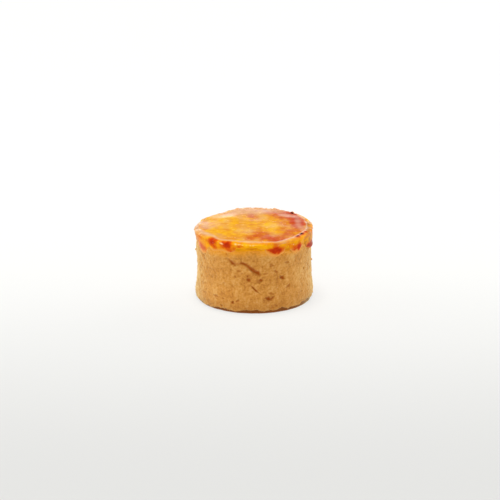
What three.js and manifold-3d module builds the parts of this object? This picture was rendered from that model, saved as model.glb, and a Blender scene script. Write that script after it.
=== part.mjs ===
// A small lemon tart with a burnt-sugar top, baked in a plain ring and turned out on its sole.
// Pieces: a shortcrust pastry cup, the lemon custard that fills it and stands above its rim as a yellow band,
// and a thin lid of caramelised sugar that laps over the edge and runs down the side in drips.
// Millimetres, +Z up. The origin is on the table under the middle of the tart, and the front faces -Y.
import * as THREE from "three";
import { mergeVertices } from "three/addons/utils/BufferGeometryUtils.js";
import Module from "manifold-3d";

// Driving dimensions
const RING_DIAMETER = 55; // inside of the baking ring, which the pastry's foot fills
const HEIGHT = 35; // table to the sugar lid, whose low dome goes a little above it
const PASTRY_WALL = 4;
const PASTRY_FLOOR = 5;
const LID_THICKNESS = 0.8;
const GAP = 0.3; // clearance between neighbouring pieces

// The pastry's side: a spread foot, a waist where the dough drew in, and a slight flare up to the rim
const FOOT_RADIUS = RING_DIAMETER / 2;
const FOOT_HEIGHT = 4.2;
const FOOT_SHIFT = 0.35; // how much further the foot spread towards +X than towards -X
const TOE_ROUNDING = 0.5;
const WAIST_RADIUS = FOOT_RADIUS - 1.1;
const WAIST_HEIGHT = 16.5;
const RIM_FLARE = 0.25;
const RIM_HEIGHT = 29.8; // mean, as the hand-cut rim rises and falls
const RIM_DIP = { bearing: -36, half: 17, drop: 0.7 }; // stretch of the rim that was cut lower, in degrees
const SOLE_RADIUS = FOOT_RADIUS - 1.35; // the browned base sits in a little from the ragged toe
const TOE_LIFT = 1.6;
const HEEL = { bearing: 68, half: 32, lift: 0.5 }; // stretch of the toe that lifted further, in degrees
const SETTLED = { bearing: -72, half: 40, drop: 0.6 }; // stretch of the toe that settled lower, in degrees

// The custard's band and the lid over it, whose lip is a quarter of an ellipse
const BAND_RADIUS = FOOT_RADIUS - 0.8;
const CREST_HEIGHT = HEIGHT - 0.5;
const LID_DOME = 0.5;
const LID_TILT = 0.14; // how much higher the lip's crest is at the back than at its middle
const LID_WAVE = 0.14; // unevenness of the sugar's top
const LIP_RADIUS = FOOT_RADIUS + 0.15;
const LIP_WIDTH = 1.6; // where nothing else is listed
const LIP_WIDTHS = [
  // [bearing in degrees, width]: in front, the plate of sugar stops further from the side
  [-180, LIP_WIDTH], [-78, LIP_WIDTH], [-62, 2.2], [-46, 3], [-35, 1.7], [-28, 2.5], [-19, 2.7], [-9, 3.4],
  [2.5, 3], [12, 1.9], [24, 0.9], [35, 1.1], [50, 1.9], [62, 2.2], [80, LIP_WIDTH], [180, LIP_WIDTH],
];
const LIP_DROP = 1.2;
const LIP_SWELL = { bearing: -82, half: 16, rise: 0.35 }; // stretch of the lip that stands out, in degrees
const CREST_RADIUS = LIP_RADIUS - LIP_WIDTH;
const SAG = { bearing: -122, half: 48, drop: 0.95, inset: 0.6 }; // stretch that sagged, in degrees
const SKIRT_END = HEIGHT - 3.5; // where the sugar ends between drips
const SKIRT_THICKNESS = 0.45;
const SKIRT_EDGE = 0.3; // how thin the sugar gets at its lower edge

// Waves round the tart: [size, waves in a turn, phase, lean for each millimetre of height]
const HAND_WAVES = [[0.18, 2, 1.2, 0.03], [0.15, 3, 1.3, 0.02], [0.09, 5, 2, 0.21], [0.06, 9, -0.4, 0.33]];
const RIM_WAVES = [[0.6, 2, -0.15], [0.35, 3, 0.3], [0.3, 7, -1.2], [0.2, 13, 0.7]];
const TOE_WAVES = [[0.275, 11, 0.5], [0.225, 27, -1]];
const SUGAR_WAVES = [[0.35, 8, 1], [0.3, 17, -0.5]]; // of the sugar's lower edge
const LIP_WAVES = [[0.12, 6, 0.4], [0.08, 15, -1]];

// Drips of sugar: bearing in degrees from the front, height of the tip, half width and bulge
const DRIPS = [
  { bearing: -90, tip: 27.8, half: 6, bulge: 0.1 },
  { bearing: -62, tip: 25.4, half: 6, bulge: 0.15 },
  { bearing: -43, tip: 28.4, half: 4.6, bulge: 0.15 },
  { bearing: -27, tip: 28.8, half: 4.6, bulge: 0.15 },
  { bearing: 22.5, tip: 27.2, half: 5.4, bulge: 0.3 },
  { bearing: 48, tip: 27, half: 5, bulge: 0.25 },
  { bearing: 73, tip: 25.8, half: 5.6, bulge: 1.3 },
  { bearing: 103, tip: 28.2, half: 3.8, bulge: 0.25 },
  { bearing: 126, tip: 26.6, half: 3.6, bulge: 0.35 },
  { bearing: 157, tip: 29.4, half: 4.6, bulge: 0.2 },
  { bearing: -171, tip: 27, half: 4, bulge: 0.35 },
  { bearing: -143, tip: 28.8, half: 4.2, bulge: 0.25 },
  { bearing: -116, tip: 27, half: 3.4, bulge: 0.3 },
];
const DRIP_COLUMNS = [-1, -0.8, -0.45, 0, 0.45, 0.8, 1]; // where columns cross a drip, in half widths

// Seams where dough was pressed together: the groove's radius and [bearing in degrees, height] along each
const SEAMS = [
  {
    radius: 0.6,
    route: [[-27.6, 26.4], [-21.5, 24.1], [-14.4, 24.15], [-8.2, 24], [0.4, 20.8], [6.7, 18.5]],
  },
  { radius: 0.4, route: [[-3.4, 14.1], [2.1, 11.4], [7.2, 9.3]] },
  { radius: 0.5, route: [[128, 20.5], [139, 19.2], [150, 20], [160, 17.6]] },
  { radius: 0.4, route: [[-132, 12.6], [-124, 10.4], [-113, 9.6]] },
];
const SEAM_SIDES = 6;
const SEAM_STEP = 2; // length of one step along a seam

// Pits left by air in the dough: the deep ones at their own places, the rest spread over the side
const DEEP_PITS = [
  { bearing: 30.6, height: 16.2, radius: 0.95 },
  { bearing: 14.6, height: 7.2, radius: 0.95 },
  { bearing: -5.1, height: 16.4, radius: 0.75 },
  { bearing: 7.3, height: 16.3, radius: 0.7 },
  { bearing: -21, height: 5.4, radius: 0.7 },
];
const SMALL_PITS = 22;
const SMALL_PIT_RADIUS = [0.45, 0.8];
const PIT_ZONE = [4, 26]; // heights between which the small pits lie
const PIT_SEED = 20261127;

const COLUMNS = { pastry: 96, filling: 64 };
const LID_STEP = 2.6; // widest column of the lid

const { degToRad, lerp, clamp, smoothstep, euclideanModulo } = THREE.MathUtils;

const wasm = await Module();
wasm.setup();

// A point by its bearing (0 faces the front, a quarter turn faces +X), distance from the axis and height.
function placed(bearing, radius, height) {
  return new THREE.Vector3(radius * Math.sin(bearing), -radius * Math.cos(bearing), height);
}

// An arch: 1 in the middle, falling to 0 at one half width and staying there.
function arch(offset, half) {
  return Math.max(0, 1 - (offset / half) ** 2);
}

// How far apart two bearings are, measured along the tart's side.
function alongSide(bearing, other) {
  return Math.atan2(Math.sin(bearing - other), Math.cos(bearing - other)) * FOOT_RADIUS;
}

// The same random numbers on every run.
function seededRandom(seed) {
  let state = seed >>> 0;
  return () => {
    state = (Math.imul(state, 1664525) + 1013904223) >>> 0;
    return state / 2 ** 32;
  };
}

function evenBearings(count) {
  return Array.from({ length: count }, (_, column) => (2 * Math.PI * column) / count);
}

// A closed skin round the tart's axis. profileAt(bearing) gives the same number of (radius, height) points at
// every bearing. Its first and last points lie on the axis, with the outside on the right of its direction.
function turnedSkin(profileAt, bearings) {
  const columns = bearings.length;
  const geometry = new THREE.LatheGeometry(profileAt(0), columns);
  const position = geometry.getAttribute("position");
  const rows = profileAt(0).length;
  for (let column = 0; column <= columns; column++) {
    const bearing = bearings[column % columns];
    profileAt(bearing).forEach((point, row) => {
      const { x, y, z } = placed(bearing, point.x, point.y);
      position.setXYZ(column * rows + row, x, y, z);
    });
  }
  return welded(geometry);
}

// The geometry with shared vertices merged and the collapsed triangles at its poles left out.
function welded(geometry) {
  geometry.deleteAttribute("normal");
  geometry.deleteAttribute("uv");
  const merged = mergeVertices(geometry, 1e-4);
  const index = merged.index.array;
  const kept = [];
  for (let i = 0; i < index.length; i += 3) {
    const [a, b, c] = index.subarray(i, i + 3);
    if (a !== b && b !== c && c !== a) kept.push(a, b, c);
  }
  return merged.setIndex(kept);
}

function solidOf(geometry) {
  return new wasm.Manifold(
    new wasm.Mesh({
      numProp: 3,
      vertProperties: new Float32Array(geometry.getAttribute("position").array),
      triVerts: new Uint32Array(geometry.index.array),
    }),
  );
}

function geometryOf(solid) {
  const mesh = solid.getMesh();
  return new THREE.BufferGeometry()
    .setAttribute("position", new THREE.BufferAttribute(mesh.vertProperties, mesh.numProp))
    .setIndex(new THREE.BufferAttribute(mesh.triVerts, 1));
}

// Sum of the listed waves at a bearing and a height.
function wavesAt(waves, bearing, height = 0) {
  return waves.reduce(
    (sum, [size, count, phase, lean = 0]) => sum + size * Math.cos(count * bearing + phase + lean * height),
    0,
  );
}

// Unevenness of dough pressed into the ring by hand: slow waves round the side that lean as they rise, and a
// foot that spread further on one side.
function handWobble(bearing, height) {
  const foot = FOOT_SHIFT * Math.sin(bearing) * clamp(1 - height / WAIST_HEIGHT, 0, 1);
  return foot + wavesAt(HAND_WAVES, bearing, height);
}

// Outer radius of the pastry's side.
function wallRadius(bearing, height) {
  const spread = clamp((WAIST_HEIGHT - height) / (WAIST_HEIGHT - FOOT_HEIGHT), 0, 1) ** 1.5;
  const flare = smoothstep(height, WAIST_HEIGHT, RIM_HEIGHT - 4);
  const toe = clamp(1 - height / FOOT_HEIGHT, 0, 1) ** 2;
  const plain = lerp(WAIST_RADIUS, FOOT_RADIUS, spread) + RIM_FLARE * flare - TOE_ROUNDING * toe;
  return plain + handWobble(bearing, height);
}

// Height of the pastry's cut rim.
function rimHeight(bearing) {
  return RIM_HEIGHT - RIM_DIP.drop * stretchAt(bearing, RIM_DIP) + wavesAt(RIM_WAVES, bearing);
}

// How much of a stretch of the edge, {bearing, half} in degrees, is at this bearing.
function stretchAt(bearing, stretch) {
  return arch(alongSide(bearing, degToRad(stretch.bearing)), degToRad(stretch.half) * FOOT_RADIUS);
}

// Height of the ragged lower edge of the side, above the recessed sole.
function toeLift(bearing) {
  const lift = HEEL.lift * stretchAt(bearing, HEEL) - SETTLED.drop * stretchAt(bearing, SETTLED);
  return TOE_LIFT + lift + wavesAt(TOE_WAVES, bearing);
}

// The lid's top: a low dome down to the lip's crest, tilted, uneven, and sagged at one stretch.
function lidTop(bearing, radius) {
  const { x, y } = placed(bearing, radius, 0);
  const wave = Math.sin(0.33 * x + 0.12 * y + 0.9) * Math.cos(0.29 * y - 0.1 * x - 0.4);
  const share = radius / CREST_RADIUS;
  const sag = SAG.drop * stretchAt(bearing, SAG) * smoothstep(share, 0.55, 1);
  return CREST_HEIGHT + LID_DOME * (1 - share ** 2) + (LID_TILT * y) / CREST_RADIUS + LID_WAVE * wave - sag;
}

// Width of the lip's slope, from the plate's edge out to the side, read off between the listed bearings.
function lipWidth(bearing) {
  const turn = euclideanModulo(THREE.MathUtils.radToDeg(bearing) + 180, 360) - 180;
  const next = Math.max(1, LIP_WIDTHS.findIndex(([listed]) => listed >= turn));
  const [[start, from], [end, to]] = LIP_WIDTHS.slice(next - 1, next + 1);
  return lerp(from, to, (turn - start) / (end - start));
}

// Radius of the custard's band, which draws in where the edge sagged.
function bandRadius(bearing) {
  return BAND_RADIUS - SAG.inset * stretchAt(bearing, SAG);
}

// How thick each drip is at this bearing, from 0 at its sides to 1 down its middle, with its own sizes.
function dripsAt(bearing) {
  return DRIPS.map((drip) => ({
    ...drip,
    share: arch(alongSide(bearing, degToRad(drip.bearing)), drip.half),
  }));
}

// Height at which the sugar ends: a wavy edge, with a round-ended tongue at each drip.
function sugarEnd(bearing) {
  const edge = SKIRT_END + wavesAt(SUGAR_WAVES, bearing);
  return Math.min(...dripsAt(bearing).map((drip) => lerp(edge, drip.tip, drip.share ** 0.55)));
}

// Bearings of the lid's columns: close together across each drip, and at most LID_STEP apart between drips.
function lidBearings() {
  const across = DRIPS.flatMap(({ bearing, half }) =>
    DRIP_COLUMNS.map((share) => degToRad(bearing) + (share * half) / FOOT_RADIUS),
  );
  const turns = across.map((turn) => euclideanModulo(turn, 2 * Math.PI)).sort((one, other) => one - other);
  return turns.flatMap((turn, place) => {
    const next = turns[place + 1] ?? turns[0] + 2 * Math.PI;
    const parts = Math.ceil(((next - turn) * FOOT_RADIUS) / LID_STEP);
    return Array.from({ length: parts }, (_, part) => lerp(turn, next, part / parts));
  });
}

// Pastry cup: sole, ragged toe, side, cut rim, then down the inside to the floor.
function pastryProfile(bearing) {
  const toe = toeLift(bearing);
  const rim = rimHeight(bearing);
  const sole = SOLE_RADIUS + FOOT_SHIFT * Math.sin(bearing);
  const inner = FOOT_RADIUS - PASTRY_WALL;
  const points = [
    new THREE.Vector2(0, 0),
    new THREE.Vector2(sole * 0.5, 0),
    new THREE.Vector2(sole, 0),
    new THREE.Vector2(sole + 0.1, toe),
  ];
  const rise = [0, 0.04, 0.09, 0.15, 0.22, 0.3, 0.38, 0.46, 0.54, 0.62, 0.7, 0.78, 0.86, 0.93, 1];
  for (const share of rise) {
    const height = lerp(toe + 0.1, rim, share);
    points.push(new THREE.Vector2(wallRadius(bearing, height) - (share === 1 ? 0.3 : 0), height));
  }
  points.push(
    new THREE.Vector2(inner + 0.4, rim - 0.1),
    new THREE.Vector2(inner, rim - 0.6),
    new THREE.Vector2(inner - 0.4, PASTRY_FLOOR + 2),
    new THREE.Vector2(inner - 2.4, PASTRY_FLOOR),
    new THREE.Vector2(0, PASTRY_FLOOR),
  );
  return points;
}

// A groove's cutter: a slim tube along the side, as deep as its radius, that runs out of it at both ends.
function seamCutter({ radius, route }) {
  const spots = route.map(([bearing, height], spot) => {
    const turn = degToRad(bearing);
    const lifted = spot === 0 || spot === route.length - 1 ? radius * 0.8 : 0;
    return placed(turn, wallRadius(turn, height) + lifted, height);
  });
  const path = new THREE.CatmullRomCurve3(spots);
  const section = new THREE.Shape(
    Array.from({ length: SEAM_SIDES }, (_, side) => {
      const turn = (2 * Math.PI * side) / SEAM_SIDES;
      return new THREE.Vector2(radius * Math.cos(turn), radius * Math.sin(turn));
    }),
  );
  const steps = Math.ceil(path.getLength() / SEAM_STEP);
  return welded(new THREE.ExtrudeGeometry(section, { steps, extrudePath: path }));
}

// A pit's cutter: a squat ball half sunk in the side.
function pitCutter({ bearing, height, radius }) {
  const turn = degToRad(bearing);
  const centre = placed(turn, wallRadius(turn, height) + radius * 0.35, height);
  const ball = new THREE.IcosahedronGeometry(radius, 1).scale(1.25, 1, 0.8).rotateZ(turn);
  return welded(ball.translate(centre.x, centre.y, centre.z));
}

// Pits spread evenly round the side: one in each slice of the turn, at a random height.
function smallPits() {
  const random = seededRandom(PIT_SEED);
  return Array.from({ length: SMALL_PITS }, (_, pit) => ({
    bearing: (360 * (pit + random() * 0.8)) / SMALL_PITS,
    height: lerp(...PIT_ZONE, random()),
    radius: lerp(...SMALL_PIT_RADIUS, random() ** 2),
  }));
}

function pastry() {
  const cup = solidOf(turnedSkin(pastryProfile, evenBearings(COLUMNS.pastry)));
  const cutters = [...SEAMS.map(seamCutter), ...[...DEEP_PITS, ...smallPits()].map(pitCutter)];
  return geometryOf(cutters.reduce((left, cutter) => left.subtract(solidOf(cutter)), cup));
}

// Lemon custard: fills the cup, then spreads over the rim to the side.
function fillingProfile(bearing) {
  const rim = rimHeight(bearing);
  const inner = FOOT_RADIUS - PASTRY_WALL - GAP;
  const band = bandRadius(bearing);
  const crest = lidTop(bearing, CREST_RADIUS);
  const top = -LID_THICKNESS - GAP; // below the lid's top
  return [
    new THREE.Vector2(0, PASTRY_FLOOR + GAP),
    new THREE.Vector2(inner - 2.5, PASTRY_FLOOR + GAP),
    new THREE.Vector2(inner - 0.4, PASTRY_FLOOR + 2 + GAP),
    new THREE.Vector2(inner, rim - 0.6),
    new THREE.Vector2(inner + 0.3, rim + GAP),
    new THREE.Vector2(band - 0.25, rim + GAP),
    new THREE.Vector2(band, rim + GAP + 0.3),
    new THREE.Vector2(band, crest + top - 0.4),
    new THREE.Vector2(band - 0.7, crest + top - 0.15),
    new THREE.Vector2(band - 2.6, lidTop(bearing, band - 2.6) + top),
    new THREE.Vector2(BAND_RADIUS * 0.72, lidTop(bearing, BAND_RADIUS * 0.72) + top),
    new THREE.Vector2(BAND_RADIUS * 0.4, lidTop(bearing, BAND_RADIUS * 0.4) + top),
    new THREE.Vector2(0, lidTop(bearing, 0) + top),
  ];
}

// Sugar lid: up the inside, round the lower edge, up the drips and the lip, and over the domed top.
function lidProfile(bearing) {
  const under = -LID_THICKNESS; // below the lid's top
  const end = sugarEnd(bearing);
  const band = bandRadius(bearing);
  const ripple = wavesAt(LIP_WAVES, bearing);
  const moved = band - BAND_RADIUS + ripple + LIP_SWELL.rise * stretchAt(bearing, LIP_SWELL);
  const width = lipWidth(bearing);
  const crestRadius = LIP_RADIUS - width + moved;
  const crest = lidTop(bearing, crestRadius);
  const start = crest - LIP_DROP;
  const inside = (height) => Math.max(band, wallRadius(bearing, height)) + GAP;
  const down = [0.3, 0.6, 0.85, 1];
  const points = [
    new THREE.Vector2(0, lidTop(bearing, 0) + under),
    new THREE.Vector2(BAND_RADIUS * 0.4, lidTop(bearing, BAND_RADIUS * 0.4) + under),
    new THREE.Vector2(BAND_RADIUS * 0.72, lidTop(bearing, BAND_RADIUS * 0.72) + under),
    new THREE.Vector2(band - 2.5, lidTop(bearing, band - 2.5) + under),
    new THREE.Vector2(band - 0.5, crest - LID_THICKNESS),
    new THREE.Vector2(band + GAP, crest - LID_THICKNESS - 0.35),
  ];
  for (const share of down) {
    const height = lerp(start, end, share);
    points.push(new THREE.Vector2(inside(height), height));
  }
  const swell = dripsAt(bearing).reduce((sum, drip) => sum + drip.bulge * drip.share, 0);
  for (const share of [...down].reverse()) {
    const height = lerp(start, end, share);
    const film = lerp(SKIRT_THICKNESS, SKIRT_EDGE, share) + swell * arch(share - 0.6, 0.5);
    points.push(new THREE.Vector2(inside(height) + film, height + (share === 1 ? 0.15 : 0)));
  }
  for (const tilt of [0, 35, 65, 90]) {
    const turn = degToRad(tilt);
    points.push(new THREE.Vector2(crestRadius + width * Math.cos(turn), start + LIP_DROP * Math.sin(turn)));
  }
  for (const share of [0.84, 0.64, 0.38, 0]) {
    const radius = CREST_RADIUS * share;
    points.push(new THREE.Vector2(radius, lidTop(bearing, radius)));
  }
  return points;
}

function piece(name, geometry, color, roughness) {
  const mesh = new THREE.Mesh(geometry, new THREE.MeshStandardMaterial({ color, roughness, metalness: 0 }));
  mesh.name = name;
  return mesh;
}

const tart = new THREE.Group();
tart.add(
  piece("pastry_case", pastry(), 0xd09a52, 0.75),
  piece("lemon_filling", turnedSkin(fillingProfile, evenBearings(COLUMNS.filling)), 0xf0b02c, 0.3),
  piece("sugar_lid", turnedSkin(lidProfile, lidBearings()), 0xe08a34, 0.12),
);

export default tart;
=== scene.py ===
# %% [markdown]
# # A small lemon tart with a burnt-sugar top
#
# This lesson dresses a tart that was baked in a plain ring: a cup of shortcrust pastry, lemon custard
# that stands above the rim as a yellow band, and a thin lid of caramelised sugar that runs over the edge
# in drips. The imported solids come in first. They fix where everything is, and each of them is then
# replaced by a finer surface of the same form. Most sizes repeat the solids' own, and what is too fine
# for them is added here.

# %% Load the frame
import itertools
import math
from collections import namedtuple
from types import SimpleNamespace

import bpy
import numpy as np
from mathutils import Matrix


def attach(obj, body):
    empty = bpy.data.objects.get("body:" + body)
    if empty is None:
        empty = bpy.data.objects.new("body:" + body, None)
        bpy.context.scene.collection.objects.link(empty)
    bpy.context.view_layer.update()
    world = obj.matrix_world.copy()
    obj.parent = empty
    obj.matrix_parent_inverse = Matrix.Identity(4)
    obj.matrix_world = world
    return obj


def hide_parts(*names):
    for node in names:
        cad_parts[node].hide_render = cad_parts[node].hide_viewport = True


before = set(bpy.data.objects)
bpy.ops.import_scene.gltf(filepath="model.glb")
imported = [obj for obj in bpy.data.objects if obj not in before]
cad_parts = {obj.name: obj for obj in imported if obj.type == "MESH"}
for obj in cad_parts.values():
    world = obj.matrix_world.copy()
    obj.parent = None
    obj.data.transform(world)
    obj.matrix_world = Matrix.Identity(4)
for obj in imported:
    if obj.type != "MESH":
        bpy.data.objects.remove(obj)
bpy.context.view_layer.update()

# %% [markdown]
# ## Sizes
#
# All shapes are worked out in millimetres and turned to metres when they go into a mesh. A bearing is the
# turn round the tart's axis: 0 faces the camera (-Y) and a quarter turn faces +X. A handmade thing
# differs all round, so many sizes get waves round the turn, or change along a stretch of it. Lists give
# bearings in degrees, which are easier to read.

# %% Sizes in millimetres
MM = 0.001
TURN = 2 * math.pi

HEIGHT = 35.0
FOOT_RADIUS = 27.5
FOOT_HEIGHT = 4.2
FOOT_SHIFT = 0.35
TOE_ROUNDING = 0.5
TOE_LIFT = 1.6
SOLE_RADIUS = FOOT_RADIUS - 1.35
WAIST_RADIUS = FOOT_RADIUS - 1.1
WAIST_HEIGHT = 16.5
RIM_HEIGHT = 29.8
RIM_FLARE = 0.25
FLARE_END = RIM_HEIGHT - 4
PASTRY_WALL = 4.0
PASTRY_FLOOR = 5.0

BAND_RADIUS = FOOT_RADIUS - 0.8
LID_THICKNESS = 0.8
CREST_HEIGHT = HEIGHT - 0.5
LID_DOME = 0.5
LID_TILT = 0.14
LID_WAVE = 0.14
SAG_DROP = 0.95
SAG_INSET = 0.6
LIP_RADIUS = FOOT_RADIUS + 0.15
CREST_RADIUS = LIP_RADIUS - 1.6
LIP_DROP = 1.2
SKIRT_END = HEIGHT - 3.5
print("tart", 2 * FOOT_RADIUS, "mm across the foot and", HEIGHT, "mm high")


# %% Points
def bearings(columns):
    """Bearings of the columns of a skin: evenly spaced round one turn, as a row."""
    return np.arange(columns)[None, :] * (TURN / columns)


def placed(bearing, radius, height):
    """Points at a bearing, a distance from the axis and a height: (r sin b, -r cos b, h)."""
    bearing, radius, height = np.broadcast_arrays(bearing, radius, height)
    return np.stack([radius * np.sin(bearing), -radius * np.cos(bearing), height], axis=-1)


print("front and right of the foot:", placed(bearings(4), FOOT_RADIUS, 0)[0, :2].round(1).tolist())


# %% Curves
def mixed(low, high, share):
    """The value that lies a share of the way from low to high."""
    return low + (high - low) * share


def eased(value, low, high):
    """Smooth step: 0 at low and before it, 1 at high and past it, and 3t^2 - 2t^3 between them. A name
    that ends in SPAN holds such a low and high."""
    share = np.clip((value - low) / (high - low), 0, 1)
    return share * share * (3 - 2 * share)


def arch(offset, half):
    """Parabola: 1 in the middle, falling to 0 at one half width and staying there."""
    return np.maximum(0, 1 - (offset / half) ** 2)


def bell(offset, half):
    """Bell curve: e to the power of minus the square of the offset in half widths."""
    return np.exp(-((offset / half) ** 2))


def rolled(distance, reach):
    """Rounding of an edge: 1 at the edge, falling by the square of what is left of its reach to 0."""
    return np.clip(1 - distance / reach, 0, 1) ** 2


print("a quarter of the way along, a smooth step is at", eased(0.25, 0, 1))

# %% Waves and stretches
# A wave round the turn: its size, how many go round, its phase, and its lean for each millimetre up.
TurnWave = namedtuple("TurnWave", "size count phase lean", defaults=(0,))
# A stretch of the turn: its middle and half width in degrees, and the amount in its middle.
TurnStretch = namedtuple("TurnStretch", "bearing half amount")


def listed(kind, *rows):
    """Rows of numbers, each under the names of its kind."""
    return [kind(*row) for row in rows]


def turned_from(bearing, degrees):
    """How far a bearing is turned from one in degrees, between minus and plus half a turn."""
    return (bearing - math.radians(degrees) + math.pi) % TURN - math.pi


def stretch_at(bearing, stretch):
    """A stretch's amount in its middle, falling in an arch to 0 at its ends."""
    return stretch.amount * arch(turned_from(bearing, stretch.bearing), math.radians(stretch.half))


def waves_at(waves, bearing, height=0):
    """Sum of cosine waves round the turn, whose phase moves on with height where they lean."""
    return sum(wave.size * np.cos(wave.count * bearing + wave.phase + wave.lean * height) for wave in waves)


quarter = stretch_at(bearings(4), TurnStretch(90, 30, 1))
print("a stretch round a quarter turn, at the four quarters:", quarter[0].tolist())

# %% [markdown]
# ## Unevenness
#
# Food is uneven at every size. One noise serves all the pieces: a lattice of random slopes, blended
# smoothly. Blender has such noise too, but worked out here it can move points as well as colour them. It
# is read in three dimensions at the points themselves, so it has no seam where a skin closes.

# %% Cloudy noise
LATTICE = 256
# A noise: its strength, the grain of its lattice in millimetres, its number of layers and its seed.
LatticeNoise = namedtuple("LatticeNoise", "size grain layers seed")


def cloud(points, grain, seed):
    """Gradient noise: each corner of a lattice with cells of the given grain has a random slope, and the
    heights of the eight slopes round a point are blended by 6t^5 - 15t^4 + 10t^3. It runs from about -0.7
    to 0.7."""
    chance = np.random.default_rng(seed)
    order = chance.permutation(LATTICE)
    slopes = chance.normal(size=(LATTICE, 3))
    slopes /= np.linalg.norm(slopes, axis=1, keepdims=True)
    scaled = points / grain
    cell = np.floor(scaled).astype(int)
    inside = scaled - cell
    fade = inside**3 * (inside * (inside * 6 - 15) + 10)
    total = np.zeros(points.shape[:-1])
    for corner in itertools.product((0, 1), repeat=3):
        x, y, z = np.moveaxis((cell + corner) % LATTICE, -1, 0)
        slope = slopes[order[(order[(order[x] + y) % LATTICE] + z) % LATTICE]]
        weight = np.prod(np.where(corner, fade, 1 - fade), axis=-1)
        total += weight * np.sum(slope * (inside - corner), axis=-1)
    return total


def noise_at(points, noise):
    """Sum of clouds, each with half the grain and half the strength of the one before, times the noise's
    size."""
    halvings = [2**layer for layer in range(noise.layers)]
    grain = np.asarray(noise.grain)
    clouds = [cloud(points, grain / part, noise.seed + layer) / part for layer, part in enumerate(halvings)]
    return noise.size * sum(clouds)


sample = noise_at(placed(bearings(90), FOOT_RADIUS, 0), LatticeNoise(1, 2.0, 2, 1))
print("noise round the foot from", sample.min().round(2), "to", sample.max().round(2))

# %% [markdown]
# ## Skins
#
# Every piece is one skin, as if turned on a lathe: rows of points that are carried round the axis, with
# both ends closed by a point on the axis. A Screw modifier could turn a profile too, but these rows also
# change with the bearing, so the whole grid is worked out. Marks are numbers at each point that the
# finishes read later.


# %% From rows of points to a mesh
def stacked(rows, shape):
    """One grid for each quantity, from rows that hold one number or a row of numbers for each."""
    return [np.concatenate([np.broadcast_to(value, shape) for value in column]) for column in zip(*rows)]


def gathered(grid):
    """A grid's values in the order of a skin's points: its first and last rows each become one point."""
    inner = grid[1:-1].reshape((grid.shape[0] - 2) * grid.shape[1], -1)
    return np.concatenate([grid[0, :1].reshape(1, -1), inner, grid[-1, :1].reshape(1, -1)])


def skin_faces(rows, columns):
    """Quads and end triangles of a skin that wraps round in its columns. Row by row it goes from the axis
    underneath, outwards, up the outside and back to the axis, so its faces point outwards."""
    ring = np.arange(1, 1 + (rows - 2) * columns).reshape(rows - 2, columns)
    following = np.roll(ring, -1, axis=1)
    quads = np.stack([ring[:-1], following[:-1], following[1:], ring[1:]], axis=-1).reshape(-1, 4)
    last = ring[-1, -1] + 1
    low_fan = np.stack([np.zeros(columns, int), following[0], ring[0]], axis=-1)
    high_fan = np.stack([ring[-1], following[-1], np.full(columns, last)], axis=-1)
    return quads, np.concatenate([low_fan, high_fan])


def new_piece(name, points, quads, triangles, marks):
    """A smooth mesh object from points in millimetres. marks holds a number for each point, kept as
    attributes."""
    mesh = bpy.data.meshes.new(name)
    mesh.from_pydata(points * MM, [], quads.tolist() + triangles.tolist())
    mesh.polygons.foreach_set("use_smooth", np.ones(len(mesh.polygons), bool))
    for mark, values in marks.items():
        mesh.attributes.new(mark, "FLOAT", "POINT").data.foreach_set("value", values)
    mesh.update()
    piece = bpy.data.objects.new(name, mesh)
    bpy.context.scene.collection.objects.link(piece)
    size = [round(length / MM, 2) for length in piece.dimensions]
    print(name, "has", len(mesh.polygons), "faces and is", size, "mm")
    return piece


def skin(name, points, marks):
    """Closed piece from one grid of points, rows by columns, with a mark for each grid point."""
    rows, columns = points.shape[:2]
    shape = (rows, columns)
    values = {mark: gathered(np.broadcast_to(grid, shape)).ravel() for mark, grid in marks.items()}
    return new_piece(name, gathered(points), *skin_faces(rows, columns), values)


print("a skin of 4 rows and 3 columns has", sum(len(faces) for faces in skin_faces(4, 3)), "faces")

# %% [markdown]
# ## The pastry's form
#
# Shortcrust was pressed into the ring by hand. The side has a spread foot, a slight waist and a slightly
# flared, uneven rim, and leans in and out by a fraction of a millimetre. Sculpting could give that, but a
# formula can be the same one that the solid was made with, so the two agree.

# %% The pastry's outline
HAND_WAVES = listed(
    TurnWave, (0.18, 2, 1.2, 0.03), (0.15, 3, 1.3, 0.02), (0.09, 5, 2, 0.21), (0.06, 9, -0.4, 0.33),
)
RIM_WAVES = listed(TurnWave, (0.6, 2, -0.15), (0.35, 3, 0.3), (0.3, 7, -1.2), (0.2, 13, 0.7))
TOE_WAVES = listed(TurnWave, (0.275, 11, 0.5), (0.225, 27, -1))
RIM_DIP = TurnStretch(-36, 17, 0.7)
LIFTED_HEEL = TurnStretch(68, 32, 0.5)
SETTLED_TOE = TurnStretch(-72, 40, 0.6)


def wall_radius(bearing, height):
    """Outer radius of the side: the waist, a spread to the foot that grows with the power 1.5, a flare to
    the rim, a rounded toe, a foot that spread further towards +X, and slow waves that lean as they
    rise."""
    spread = np.clip((WAIST_HEIGHT - height) / (WAIST_HEIGHT - FOOT_HEIGHT), 0, 1) ** 1.5
    flare = RIM_FLARE * eased(height, WAIST_HEIGHT, FLARE_END)
    toe = TOE_ROUNDING * rolled(height, FOOT_HEIGHT)
    shift = FOOT_SHIFT * np.sin(bearing) * np.clip(1 - height / WAIST_HEIGHT, 0, 1)
    plain = mixed(WAIST_RADIUS, FOOT_RADIUS, spread) + flare - toe
    return plain + shift + waves_at(HAND_WAVES, bearing, height)


def rim_height(bearing):
    """Height of the cut rim: a mean with a few waves round the turn and one dip."""
    return RIM_HEIGHT - stretch_at(bearing, RIM_DIP) + waves_at(RIM_WAVES, bearing)


def toe_lift(bearing):
    """Height of the side's lower edge above the table: a mean with two quick waves, a heel that lifted
    and a stretch that settled."""
    moved = stretch_at(bearing, LIFTED_HEEL) - stretch_at(bearing, SETTLED_TOE)
    return TOE_LIFT + waves_at(TOE_WAVES, bearing) + moved


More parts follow.
